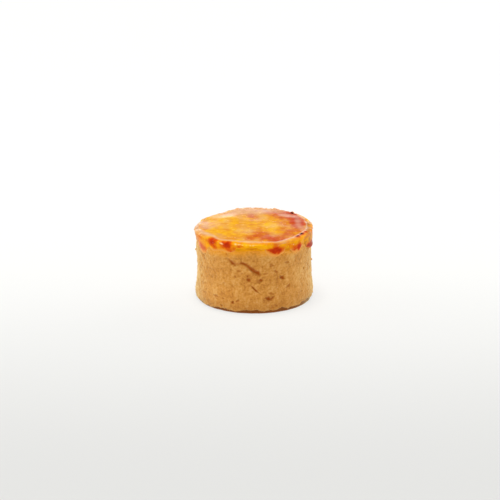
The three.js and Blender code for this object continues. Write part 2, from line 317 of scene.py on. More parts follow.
rim = rim_height(bearings(360))
print("rim from", rim.min().round(2), "to", rim.max().round(2), "mm up")

# %% [markdown]
# ## Seams
#
# Where two thicknesses of dough were pressed together, the upper one stops in a low ledge above the lower
# one. A seam is relief on the side, so it catches light and shade from every direction. A bump map would
# be simpler, but it would vanish at the outline.

# %% Seams
# A seam: its depth, width and ledge, and its route as bearings in degrees, heights and strengths.
DoughSeam = namedtuple("DoughSeam", "depth width ledge route")
SEAMS = listed(
    DoughSeam,
    (0.7, 0.95, 0.2, [
        (-27.6, 26.4, 0.25), (-24.8, 25.4, 0.5), (-21.5, 24.1, 0.95), (-17.8, 24.1, 0.35),
        (-14.4, 24.15, 0.45), (-11.2, 24.4, 0.8), (-8.2, 24.0, 0.85), (-4.7, 22.75, 0.75),
        (-1.2, 21.4, 1.1), (0.4, 20.8, 1.2), (4.3, 19.8, 0.9), (6.7, 18.5, 0.5),
    ]),
    (0.45, 0.5, 0.1, [
        (-3.4, 14.1, 0.25), (-0.4, 12.6, 0.9), (2.1, 11.4, 1.0), (4.3, 10.5, 0.5), (7.2, 9.3, 0.15),
    ]),
    (0.8, 0.85, 0.3, [(128, 20.5, 0.3), (139, 19.2, 0.8), (150, 20, 1.0), (160, 17.6, 0.3)]),
    (0.6, 0.55, 0.2, [(-132, 12.6, 0.3), (-124, 10.4, 1.0), (-113, 9.6, 0.3)]),
    (0.5, 0.5, 0.15, [(84, 12.5, 0.3), (92, 10.8, 1.0), (101, 11.4, 0.3)]),
)
print(len(SEAMS), "seams, the longest over", max(len(seam.route) for seam in SEAMS), "points")

# %% Relief of a seam
SEAM_TORN_ACROSS = LatticeNoise(0.35, 1.6, 2, 23)
SEAM_TORN_UP = LatticeNoise(0.35, 1.6, 2, 25)
NARROWEST_SEAM = 0.5
SEAM_TIP = 0.01
LEDGE_EDGE = 0.5
LEDGE_REACH = 2.2
HOLLOW_REACH = 2.8
HOLLOW_SHARE = 0.7


def nearest_on(route, across, up):
    """For each point, the nearest point of a route of straight legs: its distance, how far the point lies
    above the leg's line, and how far along the route it is. With them come the lengths at which the legs
    end."""
    lengths = np.linalg.norm(np.diff(route, axis=0), axis=1)
    leg_ends = np.concatenate([[0], np.cumsum(lengths)])
    nearest = np.full(across.shape, np.inf)
    above = np.zeros(across.shape)
    along = np.zeros(across.shape)
    for start, end, length, before in zip(route[:-1], route[1:], lengths, leg_ends):
        step = (end - start) / length
        run = np.clip((across - start[0]) * step[0] + (up - start[1]) * step[1], 0, length)
        aside = across - start[0] - run * step[0]
        rise = up - start[1] - run * step[1]
        distance = np.hypot(aside, rise)
        closer = distance < nearest
        nearest = np.where(closer, distance, nearest)
        above = np.where(closer, step[0] * rise - step[1] * aside, above)
        along = np.where(closer, before + run, along)
    return nearest, above, along, leg_ends


def seam_relief(bearing, height, seam):
    """Relief of one seam on the unrolled side, with the points shifted by noise so that it is torn: a
    groove that is a bell curve across the route, a ledge that fades out above it and a hollow that fades
    out below it. With the relief comes how deep in the seam each point is, from 0 to 1."""
    turns, levels, strengths = np.array(seam.route).T
    route = np.stack([np.radians(turns) * FOOT_RADIUS, levels], axis=1)
    points = placed(bearing, FOOT_RADIUS, height)
    turn = np.radians(turns.mean()) + turned_from(bearing, turns.mean())
    across = turn * FOOT_RADIUS + noise_at(points, SEAM_TORN_ACROSS)
    up = height + noise_at(points, SEAM_TORN_UP)
    nearest, above, along, leg_ends = nearest_on(route, across, up)
    strength = np.interp(along, leg_ends, strengths)
    groove = bell(nearest, seam.width * mixed(NARROWEST_SEAM, 1, strength))
    from_tip = np.minimum(along, leg_ends[-1] - along)
    strength = strength * np.where(from_tip < SEAM_TIP, groove, 1)
    hollow = -HOLLOW_SHARE * np.exp(-nearest / HOLLOW_REACH)
    ledge = mixed(hollow, np.exp(-nearest / LEDGE_REACH), eased(above, -LEDGE_EDGE, LEDGE_EDGE))
    return strength * (seam.ledge * ledge - seam.depth * groove), np.minimum(1, strength) * groove


cut = seam_relief(bearings(360), np.full((1, 360), 20.0), SEAMS[0])[0]
print("the front seam's relief, 20 mm up, from", cut.min().round(2), "to", cut.max().round(2), "mm")

# %% [markdown]
# ## Pits
#
# Air left pits, most of them under a millimetre, which the pressing thumb smeared along a slant. The
# large ones have real places, so they are listed. The small ones are too many to list, and are scattered
# by chance.

# %% Pits
# A spot: its place across and up, its long and short half sizes, its slant in degrees, and its strength.
# On the side the place is a bearing in degrees and a height, and on the top it is x and y in millimetres.
SlantedSpot = namedtuple("SlantedSpot", "across up long short slant share")
# Scattered spots: the size of a cell, the least and greatest half size, the share of full cells, the seed.
SpotScatter = namedtuple("SpotScatter", "cell small large filled seed")
LARGE_PITS = listed(
    SlantedSpot,
    (30.6, 16.2, 1.7, 1.1, -36, 1.0), (14.6, 7.2, 1.9, 0.95, -14, 1.0), (18.8, 7.6, 1.5, 0.6, 28, 0.6),
    (18.0, 9.5, 2.0, 0.6, -16, 0.4), (-5.1, 16.4, 1.15, 0.95, -35, 0.9), (-6.2, 18.3, 0.7, 0.56, 20, 0.55),
    (7.3, 16.3, 1.0, 0.75, -55, 0.8), (-19.2, 23.3, 0.9, 0.6, -60, 0.5), (-14.8, 20.7, 1.2, 0.6, -15, 0.4),
    (23.6, 19.7, 1.4, 0.58, -32, 0.6), (18.4, 23.3, 1.3, 1.0, -20, 0.4), (12, 19.2, 1.44, 0.6, 10, 0.4),
    (36, 23.4, 1.76, 0.64, -10, 0.4), (37.0, 11.8, 1.76, 0.72, 14, 0.35), (-21, 5.4, 0.88, 0.8, -50, 0.75),
    (-15.7, 6.3, 1.04, 0.52, 15, 0.55), (-40, 7.0, 1.76, 0.56, -8, 0.5), (-56.5, 6.8, 1.92, 0.56, 12, 0.45),
    (-31, 6.4, 0.8, 0.48, 0, 0.4), (-18.7, 17.7, 0.88, 0.64, -50, 0.5), (-27.0, 30.0, 1.6, 0.64, 10, 0.4),
    (98, 21.5, 1.9, 1.2, -30, 1.0), (118, 8.4, 1.7, 1.0, 10, 0.8), (141, 12.2, 1.6, 1.1, -35, 0.9),
    (172, 22.5, 1.8, 0.8, -20, 0.6), (-176, 9.0, 2.0, 1.1, 15, 0.9), (-152, 20.6, 1.5, 1.1, -30, 0.9),
    (-128, 22.2, 1.9, 0.8, -15, 0.6), (-101, 15.4, 1.6, 1.1, -40, 0.8), (-92, 7.2, 1.8, 0.7, 10, 0.5),
)
MEDIUM_PITS = SpotScatter(3.4, 0.35, 1.0, 0.42, 21)
SMALL_PITS = SpotScatter(1.3, 0.22, 0.55, 0.6, 22)
print(len(LARGE_PITS), "large pits, and scattered ones up to", 2 * MEDIUM_PITS.large, "mm long")

# %% Depths of the pits
SMEAR_SLANTS = (-55, 20)
LONGEST_SMEAR = 1.4


def ellipse(across, up, long, short, slant):
    """Squared distance from the middle of an ellipse of those half sizes, turned by its slant: 1 on its
    edge."""
    cosine = np.cos(np.radians(slant))
    sine = np.sin(np.radians(slant))
    return ((across * cosine + up * sine) / long) ** 2 + ((up * cosine - across * sine) / short) ** 2


def from_side_spot(bearing, height, spot, across_shift=0, up_shift=0):
    """Squared distance of points on the unrolled side, shifted if asked, from a spot, in its half
    sizes."""
    across = turned_from(bearing, spot.across) * FOOT_RADIUS + across_shift
    return ellipse(across, height - spot.up + up_shift, spot.long, spot.short, spot.slant)


def hollowed(squared):
    """Depth of a smeared pit: an arch (1 - d^2) to the power 1.2, which eases it at its edge."""
    return np.maximum(0, 1 - squared) ** 1.2


def scattered(bearing, height, scatter):
    """Depths of pits spread over the unrolled side. The side is cut into square cells that close round
    the turn. A share of them hold a pit each, with a random place, size, stretch and slant, and a point
    takes the deepest of the pits in the nine cells round it."""
    around = round(TURN * FOOT_RADIUS / scatter.cell)
    levels = math.ceil(HEIGHT / scatter.cell) + 2
    chance = np.random.default_rng(scatter.seed)
    place, size, stretch, slant, kept, rise = chance.random((6, around, levels))
    column = bearing / TURN * around
    row = height / scatter.cell + 1
    deepest = np.zeros(np.broadcast_shapes(bearing.shape, height.shape))
    for side_step, up_step in itertools.product((-1, 0, 1), repeat=2):
        own_column = np.floor(column) + side_step
        own_row = np.floor(row) + up_step
        index = (own_column.astype(int) % around, np.clip(own_row.astype(int), 0, levels - 1))
        across = (column - own_column - place[index]) * scatter.cell
        up = (row - own_row - rise[index]) * scatter.cell
        longer = mixed(scatter.small, scatter.large, size[index] ** 2)
        shorter = longer / (1 + LONGEST_SMEAR * stretch[index])
        depth = hollowed(ellipse(across, up, longer, shorter, mixed(*SMEAR_SLANTS, slant[index])))
        deepest = np.maximum(deepest, depth * longer * (kept[index] < scatter.filled))
    return deepest


pitted = scattered(bearings(360), np.full((1, 360), WAIST_HEIGHT), MEDIUM_PITS) > 0
print("medium pits take up", round(100 * pitted.mean()), "% of the waist")

# %% The pastry's relief
SWELLS = LatticeNoise(0.26, 7.0, 1, 11)
LUMPS = LatticeNoise(0.28, 2.4, 2, 12)
GRAINS = LatticeNoise(0.17, 0.9, 2, 13)
SMEARS = LatticeNoise(0.04, (1.3, 1.3, 6.0), 1, 14)
SMEAR_TURN = 0.047
# The crumb tone follows the relief: painted light on raised lumps and grains, painted shade on low ones.
LUMP_TONE = 1.6
GRAIN_TONE = 4.0
# Painted shade in the colour of seams and pits: how much of it each depth gives.
SEAM_SHADE = 1.5
SEAM_SHADE_START = 0.1
PIT_TORN_ACROSS = LatticeNoise(0.55, 1.2, 2, 26)
PIT_TORN_UP = LatticeNoise(0.55, 1.2, 2, 27)
PIT_SPREAD = 1.1
PIT_DEPTH = 0.6
PIT_SHADE = 1.25
DARK_PIT = 0.75
SCATTERED_DEPTH = 0.5
MEDIUM_SHADE = 0.6
SMALL_SHADE = 0.3


def pastry_relief(bearing, height):
    """Relief of the side in millimetres, the painted shade in pits and seams, which grows with how deep in
    them each point is, and how high on a crumb each point is, which paints raised places lighter and low
    ones darker. Swells, lumps and grains are noise. Smears are noise that is stretched down the slant, by
    turning the points as they rise. Seams and pits are then cut into it."""
    points = placed(bearing, wall_radius(bearing, height), height)
    twisted = placed(bearing + SMEAR_TURN * height, FOOT_RADIUS, height)
    lumps = noise_at(points, LUMPS) + noise_at(twisted, SMEARS)
    grains = noise_at(points, GRAINS)
    relief = noise_at(points, SWELLS) + lumps + grains
    crumb = np.clip(0.5 + LUMP_TONE * lumps + GRAIN_TONE * grains, 0, 1)
    cavity = np.zeros(relief.shape)
    for seam in SEAMS:
        cut, depth = seam_relief(bearing, height, seam)
        relief += cut
        cavity = np.maximum(cavity, np.clip(SEAM_SHADE * depth - SEAM_SHADE_START, 0, 1))
    torn = noise_at(points, PIT_TORN_ACROSS), noise_at(points, PIT_TORN_UP)
    for pit in LARGE_PITS:
        depth = hollowed(from_side_spot(bearing, height, pit, *torn) / PIT_SPREAD**2)
        relief -= PIT_DEPTH * pit.share * depth
        cavity = np.maximum(cavity, np.clip(PIT_SHADE * depth, 0, 1) * min(1, pit.share / DARK_PIT))
    medium = scattered(bearing, height, MEDIUM_PITS)
    small = scattered(bearing, height, SMALL_PITS)
    relief -= SCATTERED_DEPTH * (medium + small)
    cavity = np.maximum(cavity, np.clip(MEDIUM_SHADE * medium + SMALL_SHADE * small, 0, 1))
    return relief, cavity, crumb


relief = pastry_relief(bearings(90), np.full((1, 90), WAIST_HEIGHT))[0]
print("relief at the waist from", relief.min().round(2), "to", relief.max().round(2), "mm")

# %% [markdown]
# ## The pastry piece
#
# The skin starts on the axis under the tart, runs out along the flat sole, up its edge, which is browned
# and painted in shade, out under the ragged lower edge of the side, up the side, over the rim and down
# inside the cup, where the custard hides it.

# %% Rows of the side
WALL_ROWS = 120
RIM_CRACKS = LatticeNoise(1, (2.6, 2.6, 0.9), 1, 35)
CRACK_SPAN = (0.1, 0.45)
CRACK_DROP = 0.8
CRACK_REACH = 1.2
CRACK_SHADE = 0.75
TOE_STEP = 0.08
TOE_ROLL, TOE_REACH = 0.1, 0.5
RIM_ROLL, RIM_REACH = 0.35, 0.6
# Browning with painted shade in a band along the toe, and painted shade that darkens the side from there up
# to a height in millimetres.
FOOT_BROWN_AND_SHADE = 0.2
TOE_BAND = 0.5
LOW_SHADE_END = 10.0


def side_rows(bearing, toe, rim):
    """Rows of the side from the toe to the rim: the wall and its relief, rounded in at both edges, with
    painted shade in short cracks under the rim and two bands at the foot: browning with painted shade
    along the toe, and painted shade that darkens the side from the toe up to 10 mm."""
    heights = mixed(toe + TOE_STEP, rim, np.linspace(0, 1, WALL_ROWS)[:, None])
    relief, cavity, crumb = pastry_relief(np.broadcast_to(bearing, heights.shape), heights)
    cracks = eased(noise_at(placed(bearing, FOOT_RADIUS, heights), RIM_CRACKS), *CRACK_SPAN)
    cavity = np.maximum(cavity, CRACK_SHADE * cracks * bell(rim - heights - CRACK_DROP, CRACK_REACH))
    rounding = TOE_ROLL * rolled(heights - toe, TOE_REACH) + RIM_ROLL * rolled(rim - heights, RIM_REACH)
    radius = wall_radius(bearing, heights) + relief - rounding
    toe_brown_and_shade = 1 - eased(heights, toe, toe + TOE_BAND)
    browned = FOOT_BROWN_AND_SHADE * (toe_brown_and_shade + 1 - eased(heights, toe + TOE_BAND, LOW_SHADE_END))
    return list(zip(radius, heights, browned, cavity, crumb))


print(WALL_ROWS, "rows up the side")

# %% Make the pastry
PASTRY_COLUMNS = 620
TORN_TOE = LatticeNoise(0.9, 2.4, 3, 31)
TORN_RIM = LatticeNoise(0.8, 2.6, 3, 32)
WAVY_SOLE = LatticeNoise(0.15, 3.0, 2, 33)
SOAKED_EDGE = LatticeNoise(1.4, 2.2, 3, 34)
LOWEST_TOE = 0.45
EDGE_STEP = 0.1
PLAIN_CRUMB = 0.5
SOLE_BROWNING = 0.75
SOAKED_DEPTH = 4.2
SOAKED_RISE = 0.4
STAIN = 0.75


def pastry_rows(bearing):
    """Radius, height and marks of each row of the pastry's skin: browning with painted shade, painted
    shade in hollows, and crumb tone.
    """
    ragged = placed(bearing, FOOT_RADIUS, 0)
    toe = np.maximum(toe_lift(bearing) + noise_at(ragged, TORN_TOE), LOWEST_TOE)
    rim = rim_height(bearing) + noise_at(ragged, TORN_RIM)
    sole = SOLE_RADIUS + FOOT_SHIFT * np.sin(bearing) + noise_at(ragged, WAVY_SOLE)
    inner = FOOT_RADIUS - PASTRY_WALL
    side = side_rows(bearing, toe, rim)
    toe_radius = side[0][0]
    rim_radius = side[-1][0]
    # The sole and its edge up to the toe are browned from the tray and painted darker for the shade under
    # the foot.
    rows = [(share * sole, 0, SOLE_BROWNING, 0, PLAIN_CRUMB) for share in (0, 0.3, 0.6, 0.85, 0.95, 0.99)]
    rows += [(sole + EDGE_STEP, share * toe, 1, 0, PLAIN_CRUMB) for share in (0.05, 0.35, 0.7, 0.95)]
    rows += [(toe_radius - EDGE_STEP, toe, 1, 0, PLAIN_CRUMB), *side]
    over_rim = [(0.5, 0.02), (1.2, -0.1), (2.2, -0.5)]
    inside = [(inner, rim - 0.6), (inner - 0.2, rim - 12), (inner - 0.4, PASTRY_FLOOR + 2)]
    floor = [(inner - 2.4, PASTRY_FLOOR), (0, PASTRY_FLOOR)]
    rows += [(rim_radius - back, rim + rise, 0, 0, PLAIN_CRUMB) for back, rise in over_rim]
    rows += [(radius, height, 0, 0, PLAIN_CRUMB) for radius, height in inside + floor]
    return stacked(rows, bearing.shape)


bearing = bearings(PASTRY_COLUMNS)
radius, height, browned, cavity, crumb = pastry_rows(bearing)
soaked = rim_height(bearing) + noise_at(placed(bearing, FOOT_RADIUS, height), SOAKED_EDGE)
stain = STAIN * eased(height, soaked - SOAKED_DEPTH, soaked + SOAKED_RISE)
marks = {"browned": browned, "cavity": cavity, "crumb": crumb, "stain": stain}
pastry = skin("pastry", placed(bearing, radius, height), marks)

# %% [markdown]
# ## Crumbs
#
# A few crumbs cling to the side, and some of them break its outline. Each is a ball of a few dozen faces
# that noise has made lumpy, set half into the pastry, and they are all one piece.

# %% Make the crumbs
# A crumb: its bearing in degrees, its height and its half size.
PastryCrumb = namedtuple("PastryCrumb", "bearing height size")
CRUMBS = listed(
    PastryCrumb,
    (-88, 23.0, 0.5), (87, 18.4, 0.46), (-52, 13.2, 0.3), (-33, 19.6, 0.28), (24, 12.2, 0.26),
    (55, 20.8, 0.3), (68, 8.6, 0.34), (112, 24.2, 0.4), (134, 7.2, 0.32), (165, 14.8, 0.44),
    (-160, 25.1, 0.36), (-137, 16.5, 0.4), (-112, 6.4, 0.34), (-98, 19.7, 0.3),
)
CRUMB_ROWS = 7
CRUMB_COLUMNS = 8
CRUMB_LUMPS = LatticeNoise(0.8, 0.9, 1, 81)
CRUMB_PROUD = 0.3
# Crumbs take the tone of raised crust, which is painted lighter.
CRUMB_TONE = 0.7


def lumpy_ball(crumb, number):
    """Points of one crumb: a ball of its size whose radius goes up and down by noise, with its middle
    just outside the side."""
    tilt = np.linspace(0, math.pi, CRUMB_ROWS)[:, None]
    outward = placed(bearings(CRUMB_COLUMNS), np.sin(tilt), -np.cos(tilt))
    bearing = math.radians(crumb.bearing)
    middle = placed(bearing, wall_radius(bearing, crumb.height) + CRUMB_PROUD * crumb.size, crumb.height)
    lumps = 1 + noise_at(outward + number, CRUMB_LUMPS)
    return middle + crumb.size * lumps[..., None] * outward


balls = np.concatenate([gathered(lumpy_ball(crumb, number)) for number, crumb in enumerate(CRUMBS)])
each = len(balls) // len(CRUMBS)
quads, triangles = skin_faces(CRUMB_ROWS, CRUMB_COLUMNS)
offsets = each * np.arange(len(CRUMBS))[:, None, None]
crumbs = new_piece(
    "crumbs", balls, (quads + offsets).reshape(-1, 4), (triangles + offsets).reshape(-1, 3),
    {"crumb": np.full(len(balls), CRUMB_TONE)},
)

# %% [markdown]
# ## The custard
#
# Lemon custard fills the cup and sets flush with the ring above the pastry's rim, so it shows as a glossy
# yellow band. Only that band is seen, but the piece is the whole filling, as the solid is.

# %% The band and the lid's top
SAG = TurnStretch(-122, 48, 1)
SAG_START = 0.55


def band_radius(bearing):
    """Radius of the custard's band, which draws in where the edge sagged."""
    return BAND_RADIUS - SAG_INSET * stretch_at(bearing, SAG)


def lid_top(bearing, radius):
    """Height of the lid's top: a low dome that falls with the square of the radius to the lip's crest,
    tilted so that the back is the higher side, with one slow wave and an edge that sagged on the left of
    the back."""
    x, y = radius * np.sin(bearing), -radius * np.cos(bearing)
    wave = np.sin(0.33 * x + 0.12 * y + 0.9) * np.cos(0.29 * y - 0.1 * x - 0.4)
    dome = LID_DOME * (1 - (radius / CREST_RADIUS) ** 2)
    sag = SAG_DROP * stretch_at(bearing, SAG) * eased(radius / CREST_RADIUS, SAG_START, 1)
    return CREST_HEIGHT + dome + LID_TILT * y / CREST_RADIUS + LID_WAVE * wave - sag


print("the lid's top is", lid_top(0, 0).round(2), "mm up in the middle")

# %% Make the custard
CUSTARD_COLUMNS = 480
BAND_ROWS = 24
BAND_LUMPS = LatticeNoise(0.1, 3.0, 3, 41)
SMUDGES = LatticeNoise(1, (3.0, 3.0, 1.2), 2, 42)
SMUDGE_SPAN = (-0.15, 0.35)
BAKED_EDGE = LatticeNoise(0.5, 2.0, 2, 43)
BAKED_SPAN = (-1.8, -0.4)
LEAST_BAKED = 0.3
CLEARANCE = 0.3
BAND_FOOT = 0.25
UNDER_LIP = 0.5


def custard_rows(bearing):
    """Radius and height of each row: the floor of the cup, its side, the overhang above the rim, the
    band, which is rounded in at its foot, and the top under the lid."""
    rim = rim_height(bearing)
    inner = FOOT_RADIUS - PASTRY_WALL - CLEARANCE
    floor = PASTRY_FLOOR + CLEARANCE
    band = band_radius(bearing)
    rows = [(0, floor), (inner - 2.5, floor), (inner - 0.4, floor + 2), (inner, rim - 0.7)]
    rows += [(band - 1.4, rim - 0.5), (band - 0.5, rim - 0.45)]
    up = np.linspace(0, 1, BAND_ROWS)[:, None]
    heights = mixed(rim - 0.4, lid_top(bearing, CREST_RADIUS) - LIP_DROP + UNDER_LIP, up)
    foot = BAND_FOOT * (1 - np.sqrt(np.clip(4 * up, 0, 1)))
    rows += list(zip(band + noise_at(placed(bearing, band, heights), BAND_LUMPS) - foot, heights))
    for radius in (BAND_RADIUS - 0.7, BAND_RADIUS - 2.6, BAND_RADIUS * 0.5, 0):
        rows.append((radius, lid_top(bearing, radius) - LID_THICKNESS - CLEARANCE))
    return stacked(rows, bearing.shape)


bearing = bearings(CUSTARD_COLUMNS)
radius, height = custard_rows(bearing)
surface = placed(bearing, BAND_RADIUS, height)
smudges = eased(noise_at(surface, SMUDGES), *SMUDGE_SPAN)
below_rim = rim_height(bearing) - height + noise_at(surface, BAKED_EDGE)
baked = eased(below_rim, *BAKED_SPAN) * mixed(LEAST_BAKED, 1, smudges)
custard = skin("custard", placed(bearing, radius, height), {"baked": baked})

# %% [markdown]
# ## The sugar lid
#
# Sugar was spread over the cold tart and melted with a flame. It set as a glassy lid under a millimetre
# thick, with a rounded lip, and where it pooled at the edge it ran down in drips. A fluid simulation
# could pour it, but the drips have real places, so they are listed.

# %% Drips
# A drip: its bearing in degrees, the height of its tip, its half width and how far it bulges.
SugarDrip = namedtuple("SugarDrip", "bearing tip half bulge")
DRIPS = listed(
    SugarDrip,
    (-90, 27.8, 6.0, 0.1), (-62, 25.2, 6.8, 0.15), (-43, 28.4, 4.6, 0.15), (-27, 28.8, 4.6, 0.15),
    (22.5, 27.2, 5.4, 0.3), (48, 27.0, 5.0, 0.25), (73, 25.8, 5.6, 0.9), (103, 28.2, 3.8, 0.25),
    (126, 26.6, 3.6, 0.35), (157, 29.4, 4.6, 0.2), (-171, 27.0, 4.0, 0.35), (-143, 28.8, 4.2, 0.25),
    (-116, 27.0, 3.4, 0.3),
)
SUGAR_WAVES = listed(TurnWave, (0.35, 8, 1), (0.3, 17, -0.5))


def drip_shares(bearing):
    """How much of each drip is at each bearing, from 0 at its sides to 1 down its middle."""
    return [arch(turned_from(bearing, drip.bearing) * FOOT_RADIUS, drip.half) for drip in DRIPS]


def sugar_end(bearing):
    """Height at which the sugar ends: a wavy edge, with a round-ended tongue at each drip."""
    edge = SKIRT_END + waves_at(SUGAR_WAVES, bearing)
    ends = [mixed(edge, drip.tip, share**0.55) for drip, share in zip(DRIPS, drip_shares(bearing))]
    return np.min(ends, axis=0)


print(len(DRIPS), "drips, the longest down to", sugar_end(bearings(360)).min().round(2), "mm")

# %% [markdown]
# ## Scorch
#
# Thin sugar lets the yellow custard show. Where the flame stayed longer it went amber, then red-brown,
# then nearly black. That is one number at each point, the scorch, which later chooses the colour. A
# painted image would do it too, but here the patches are listed, and noise breaks up their edges.

# %% Patches of the top
TOP_PATCHES = listed(
    SlantedSpot,
    (6.4, -18.8, 7.8, 4.6, -26, 0.42), (9.0, -21.5, 3.6, 2.4, 10, 0.2), (1.5, -12.0, 2.4, 4.4, -10, 0.16),
    (16.0, -13.5, 3.4, 7.0, -12, 0.28), (15.0, 14.5, 10, 6.5, -44, 0.38), (16.8, 17.2, 3.4, 1.6, -48, 0.3),
    (20.6, 8.5, 1.5, 5.5, 12, 0.28), (20.4, 3.0, 2.8, 9.0, 6, 0.6), (-0.7, 12.6, 2.6, 5.0, 8, 0.34),
    (3.5, 22.0, 9.0, 3.4, -6, 0.18), (-9.0, 18.0, 6.0, 3.4, 14, 0.16), (-23.5, 1.0, 2.0, 6.0, 0, 0.12),
    (-10.0, -20.0, 3.6, 3.0, 0, 0.14), (-1.4, -20.4, 2.4, 3.0, 0, 0.14), (-22.8, -8.5, 1.6, 2.6, 0, 0.16),
    (3.5, -8.0, 3.0, 3.6, 0, 0.12), (12.9, 1.4, 2.8, 2.4, 0, 0.12), (-18.0, -7.9, 4.6, 3.2, -10, -0.1),
    (8.8, -2.4, 3.4, 4.2, 0, -0.14), (-13.5, 8.0, 5.0, 4.6, 0, -0.08), (-5.5, -11.0, 5.0, 4.0, 0, -0.06),
    (19.5, 4.0, 7.0, 22.0, 4, 0.16),
)
BURNT_MARKS = listed(
    SlantedSpot,
    (20.3, -16.6, 1.7, 1.0, 50, 0.72), (22.2, -13.3, 1.9, 1.0, 60, 0.9), (24.1, -10.2, 1.3, 1.0, 66, 0.4),
    (18.3, 17.4, 2.4, 0.6, -46, 0.32),
)
# Patches where pale sheen, a painted reflection, lies on the top.
SHEEN_PATCHES = listed(
    SlantedSpot,
    (20.6, 3.4, 1.6, 8.0, 6, 0.6), (-3.0, 18.0, 8.0, 4.0, 6, 0.6), (-1.0, 20.5, 10.0, 5.0, -4, 0.6),
    (-2.0, 22.5, 12.0, 3.0, 0, 0.6), (14.0, 16.5, 7.0, 3.0, -44, 0.6), (-22.5, 2.0, 2.4, 7.0, 0, 0.6),
    (-21.6, -13.4, 5.6, 1.8, -58, 0.6),
)
print(len(TOP_PATCHES), "patches,", len(BURNT_MARKS), "burnt marks and", len(SHEEN_PATCHES), "pale ones")

# %% Scorch of the top
PATCH_TORN_X = LatticeNoise(3.0, 5.0, 4, 51)
PATCH_TORN_Y = LatticeNoise(3.0, 5.0, 4, 52)
TOP_CLOUDS = LatticeNoise(0.19, (4.0, 5.0, 7.0), 4, 53)
MARK_TEAR = LatticeNoise(0.6, 1.5, 2, 57)
SHEEN_CLOUDS = LatticeNoise(0.6, 7.0, 3, 69)
TOP_BASE = 0.155
TOP_LIMIT = 0.8
SHEEN_LIMIT = 0.85
SHEEN_SPAN = (-0.2, 0.8)


def faded(squared):
    """How much of a patch is at each point: exp(-d^2.4), from the square of the distance d in half
    sizes."""
    return np.exp(-(squared**1.2))


def top_shares(flat, spots):
    """How much of each spot of the top is at each point, given by its x and y."""
    x, y = flat[..., 0], flat[..., 1]
    return [
        faded(ellipse(x - spot.across, y - spot.up, spot.long, spot.short, spot.slant)) for spot in spots
    ]


def top_sum(flat, spots):
    """Sum of the spots' strengths at each point of the top."""
    return sum(spot.share * share for spot, share in zip(spots, top_shares(flat, spots)))


def top_scorch(points):
    """Scorch of the top: a cloudy base plus the patches, levelled off by a hyperbolic tangent so that
    they stay red where they overlap. Noise shifts the points first, so that the edges are torn and
    streaky."""
    shift = np.stack([noise_at(points, PATCH_TORN_X), noise_at(points, PATCH_TORN_Y)], axis=-1)
    scorch = TOP_BASE + noise_at(points, TOP_CLOUDS) + top_sum(points[..., :2] + shift, TOP_PATCHES)
    return TOP_LIMIT * np.tanh(scorch / TOP_LIMIT)


def burnt_marks(points):
    """Scorch that the burnt marks add to each point of the top, and how far they hide the painted
    highlight there.
    Noise makes their edges slightly ragged."""
    ragged = points[..., :2] + noise_at(points, MARK_TEAR)[..., None]
    return top_sum(ragged, BURNT_MARKS), np.max(top_shares(ragged, BURNT_MARKS), axis=0)


def sheen(points):
    """How much painted sheen, a pale reflection painted into the colour, lies on the top: a slow noise,
    stronger in the listed patches.
    """
    return SHEEN_LIMIT * eased(noise_at(points, SHEEN_CLOUDS) + top_sum(points, SHEEN_PATCHES), *SHEEN_SPAN)


print("scorch in the middle of the top:", top_scorch(np.array([[0, 0, HEIGHT]])).round(2))

# %% Blots of the side
SIDE_BLOTS = listed(
    SlantedSpot,
    (-61.5, 28.6, 4.0, 2.0, -30, 0.36), (-43.7, 33.4, 2.7, 1.4, 20, 0.66), (-42, 30.6, 3.0, 1.0, -12, 0.28),
    (-36, 31.4, 6.0, 1.6, 0, 0.14), (-26.9, 33.2, 2.1, 1.4, -6, 0.74), (-22, 31.4, 7.0, 1.6, -6, 0.26),
    (-23.7, 30.2, 2.6, 0.6, -8, 0.16), (-13.7, 32.7, 1.6, 0.8, -10, 0.3), (22.8, 30.4, 2.7, 1.9, -8, 0.76),
    (14, 31.0, 2.6, 0.6, 4, 0.32), (45.5, 29.8, 2.2, 1.6, 0, 0.42), (51, 30.0, 1.3, 2.2, 10, 0.5),
    (35, 31.8, 4.6, 1.6, 0, 0.16), (73.6, 28.2, 3.5, 1.7, -10, 0.92), (72, 33.4, 9.0, 1.4, 0, 0.25),
    (-66, 33.0, 7.0, 2.0, 0, 0.2), (103, 30.6, 3.0, 1.4, 12, 0.36), (127, 30.4, 3.0, 1.6, 12, 0.66),
    (136, 32.0, 6.0, 1.4, 0, 0.2), (157, 33.0, 2.6, 1.3, 0, 0.5), (165, 31.6, 7.0, 1.5, 6, 0.24),
    (-171, 30.2, 2.4, 1.8, 10, 0.7), (-146, 32.6, 3.4, 1.2, -14, 0.44), (-135, 31.2, 5.0, 1.3, 0, 0.2),
    (-115, 30.6, 2.0, 2.2, 20, 0.56),
)
# Painted sheen near both sides of the outline, where the sugar catches light at a slant.
SIDE_SHEENS = listed(SlantedSpot, (75, 29.0, 4.0, 3.0, 0, 0.24), (-64, 28.6, 4.0, 3.0, 0, 0.26))
# Painted glints: pale spots in the colour where a small facet would shine.
GLINTS = listed(
    SlantedSpot,
    (-66, 33.9, 0.6, 0.4, 0, 0.7), (-32.8, 33.1, 0.9, 0.35, -8, 1.0), (-17.6, 33.7, 0.5, 0.3, -20, 0.9),
    (-14.2, 33.7, 0.7, 0.2, 8, 0.7), (-10.8, 33.5, 0.28, 0.2, 0, 0.45), (-7.1, 33.5, 0.25, 0.18, 0, 0.3),
    (-3.2, 33.5, 0.28, 0.22, 0, 0.5), (-0.5, 33.5, 0.4, 0.2, 0, 0.6), (42, 31.8, 0.35, 0.3, 0, 0.6),
    (36.5, 29.3, 0.5, 0.5, 0, 0.4), (140, 33.8, 0.9, 0.35, 0, 0.8), (-150, 33.7, 0.8, 0.35, 0, 0.8),
)
print(len(SIDE_BLOTS), "blots and", len(GLINTS), "glints on the side")

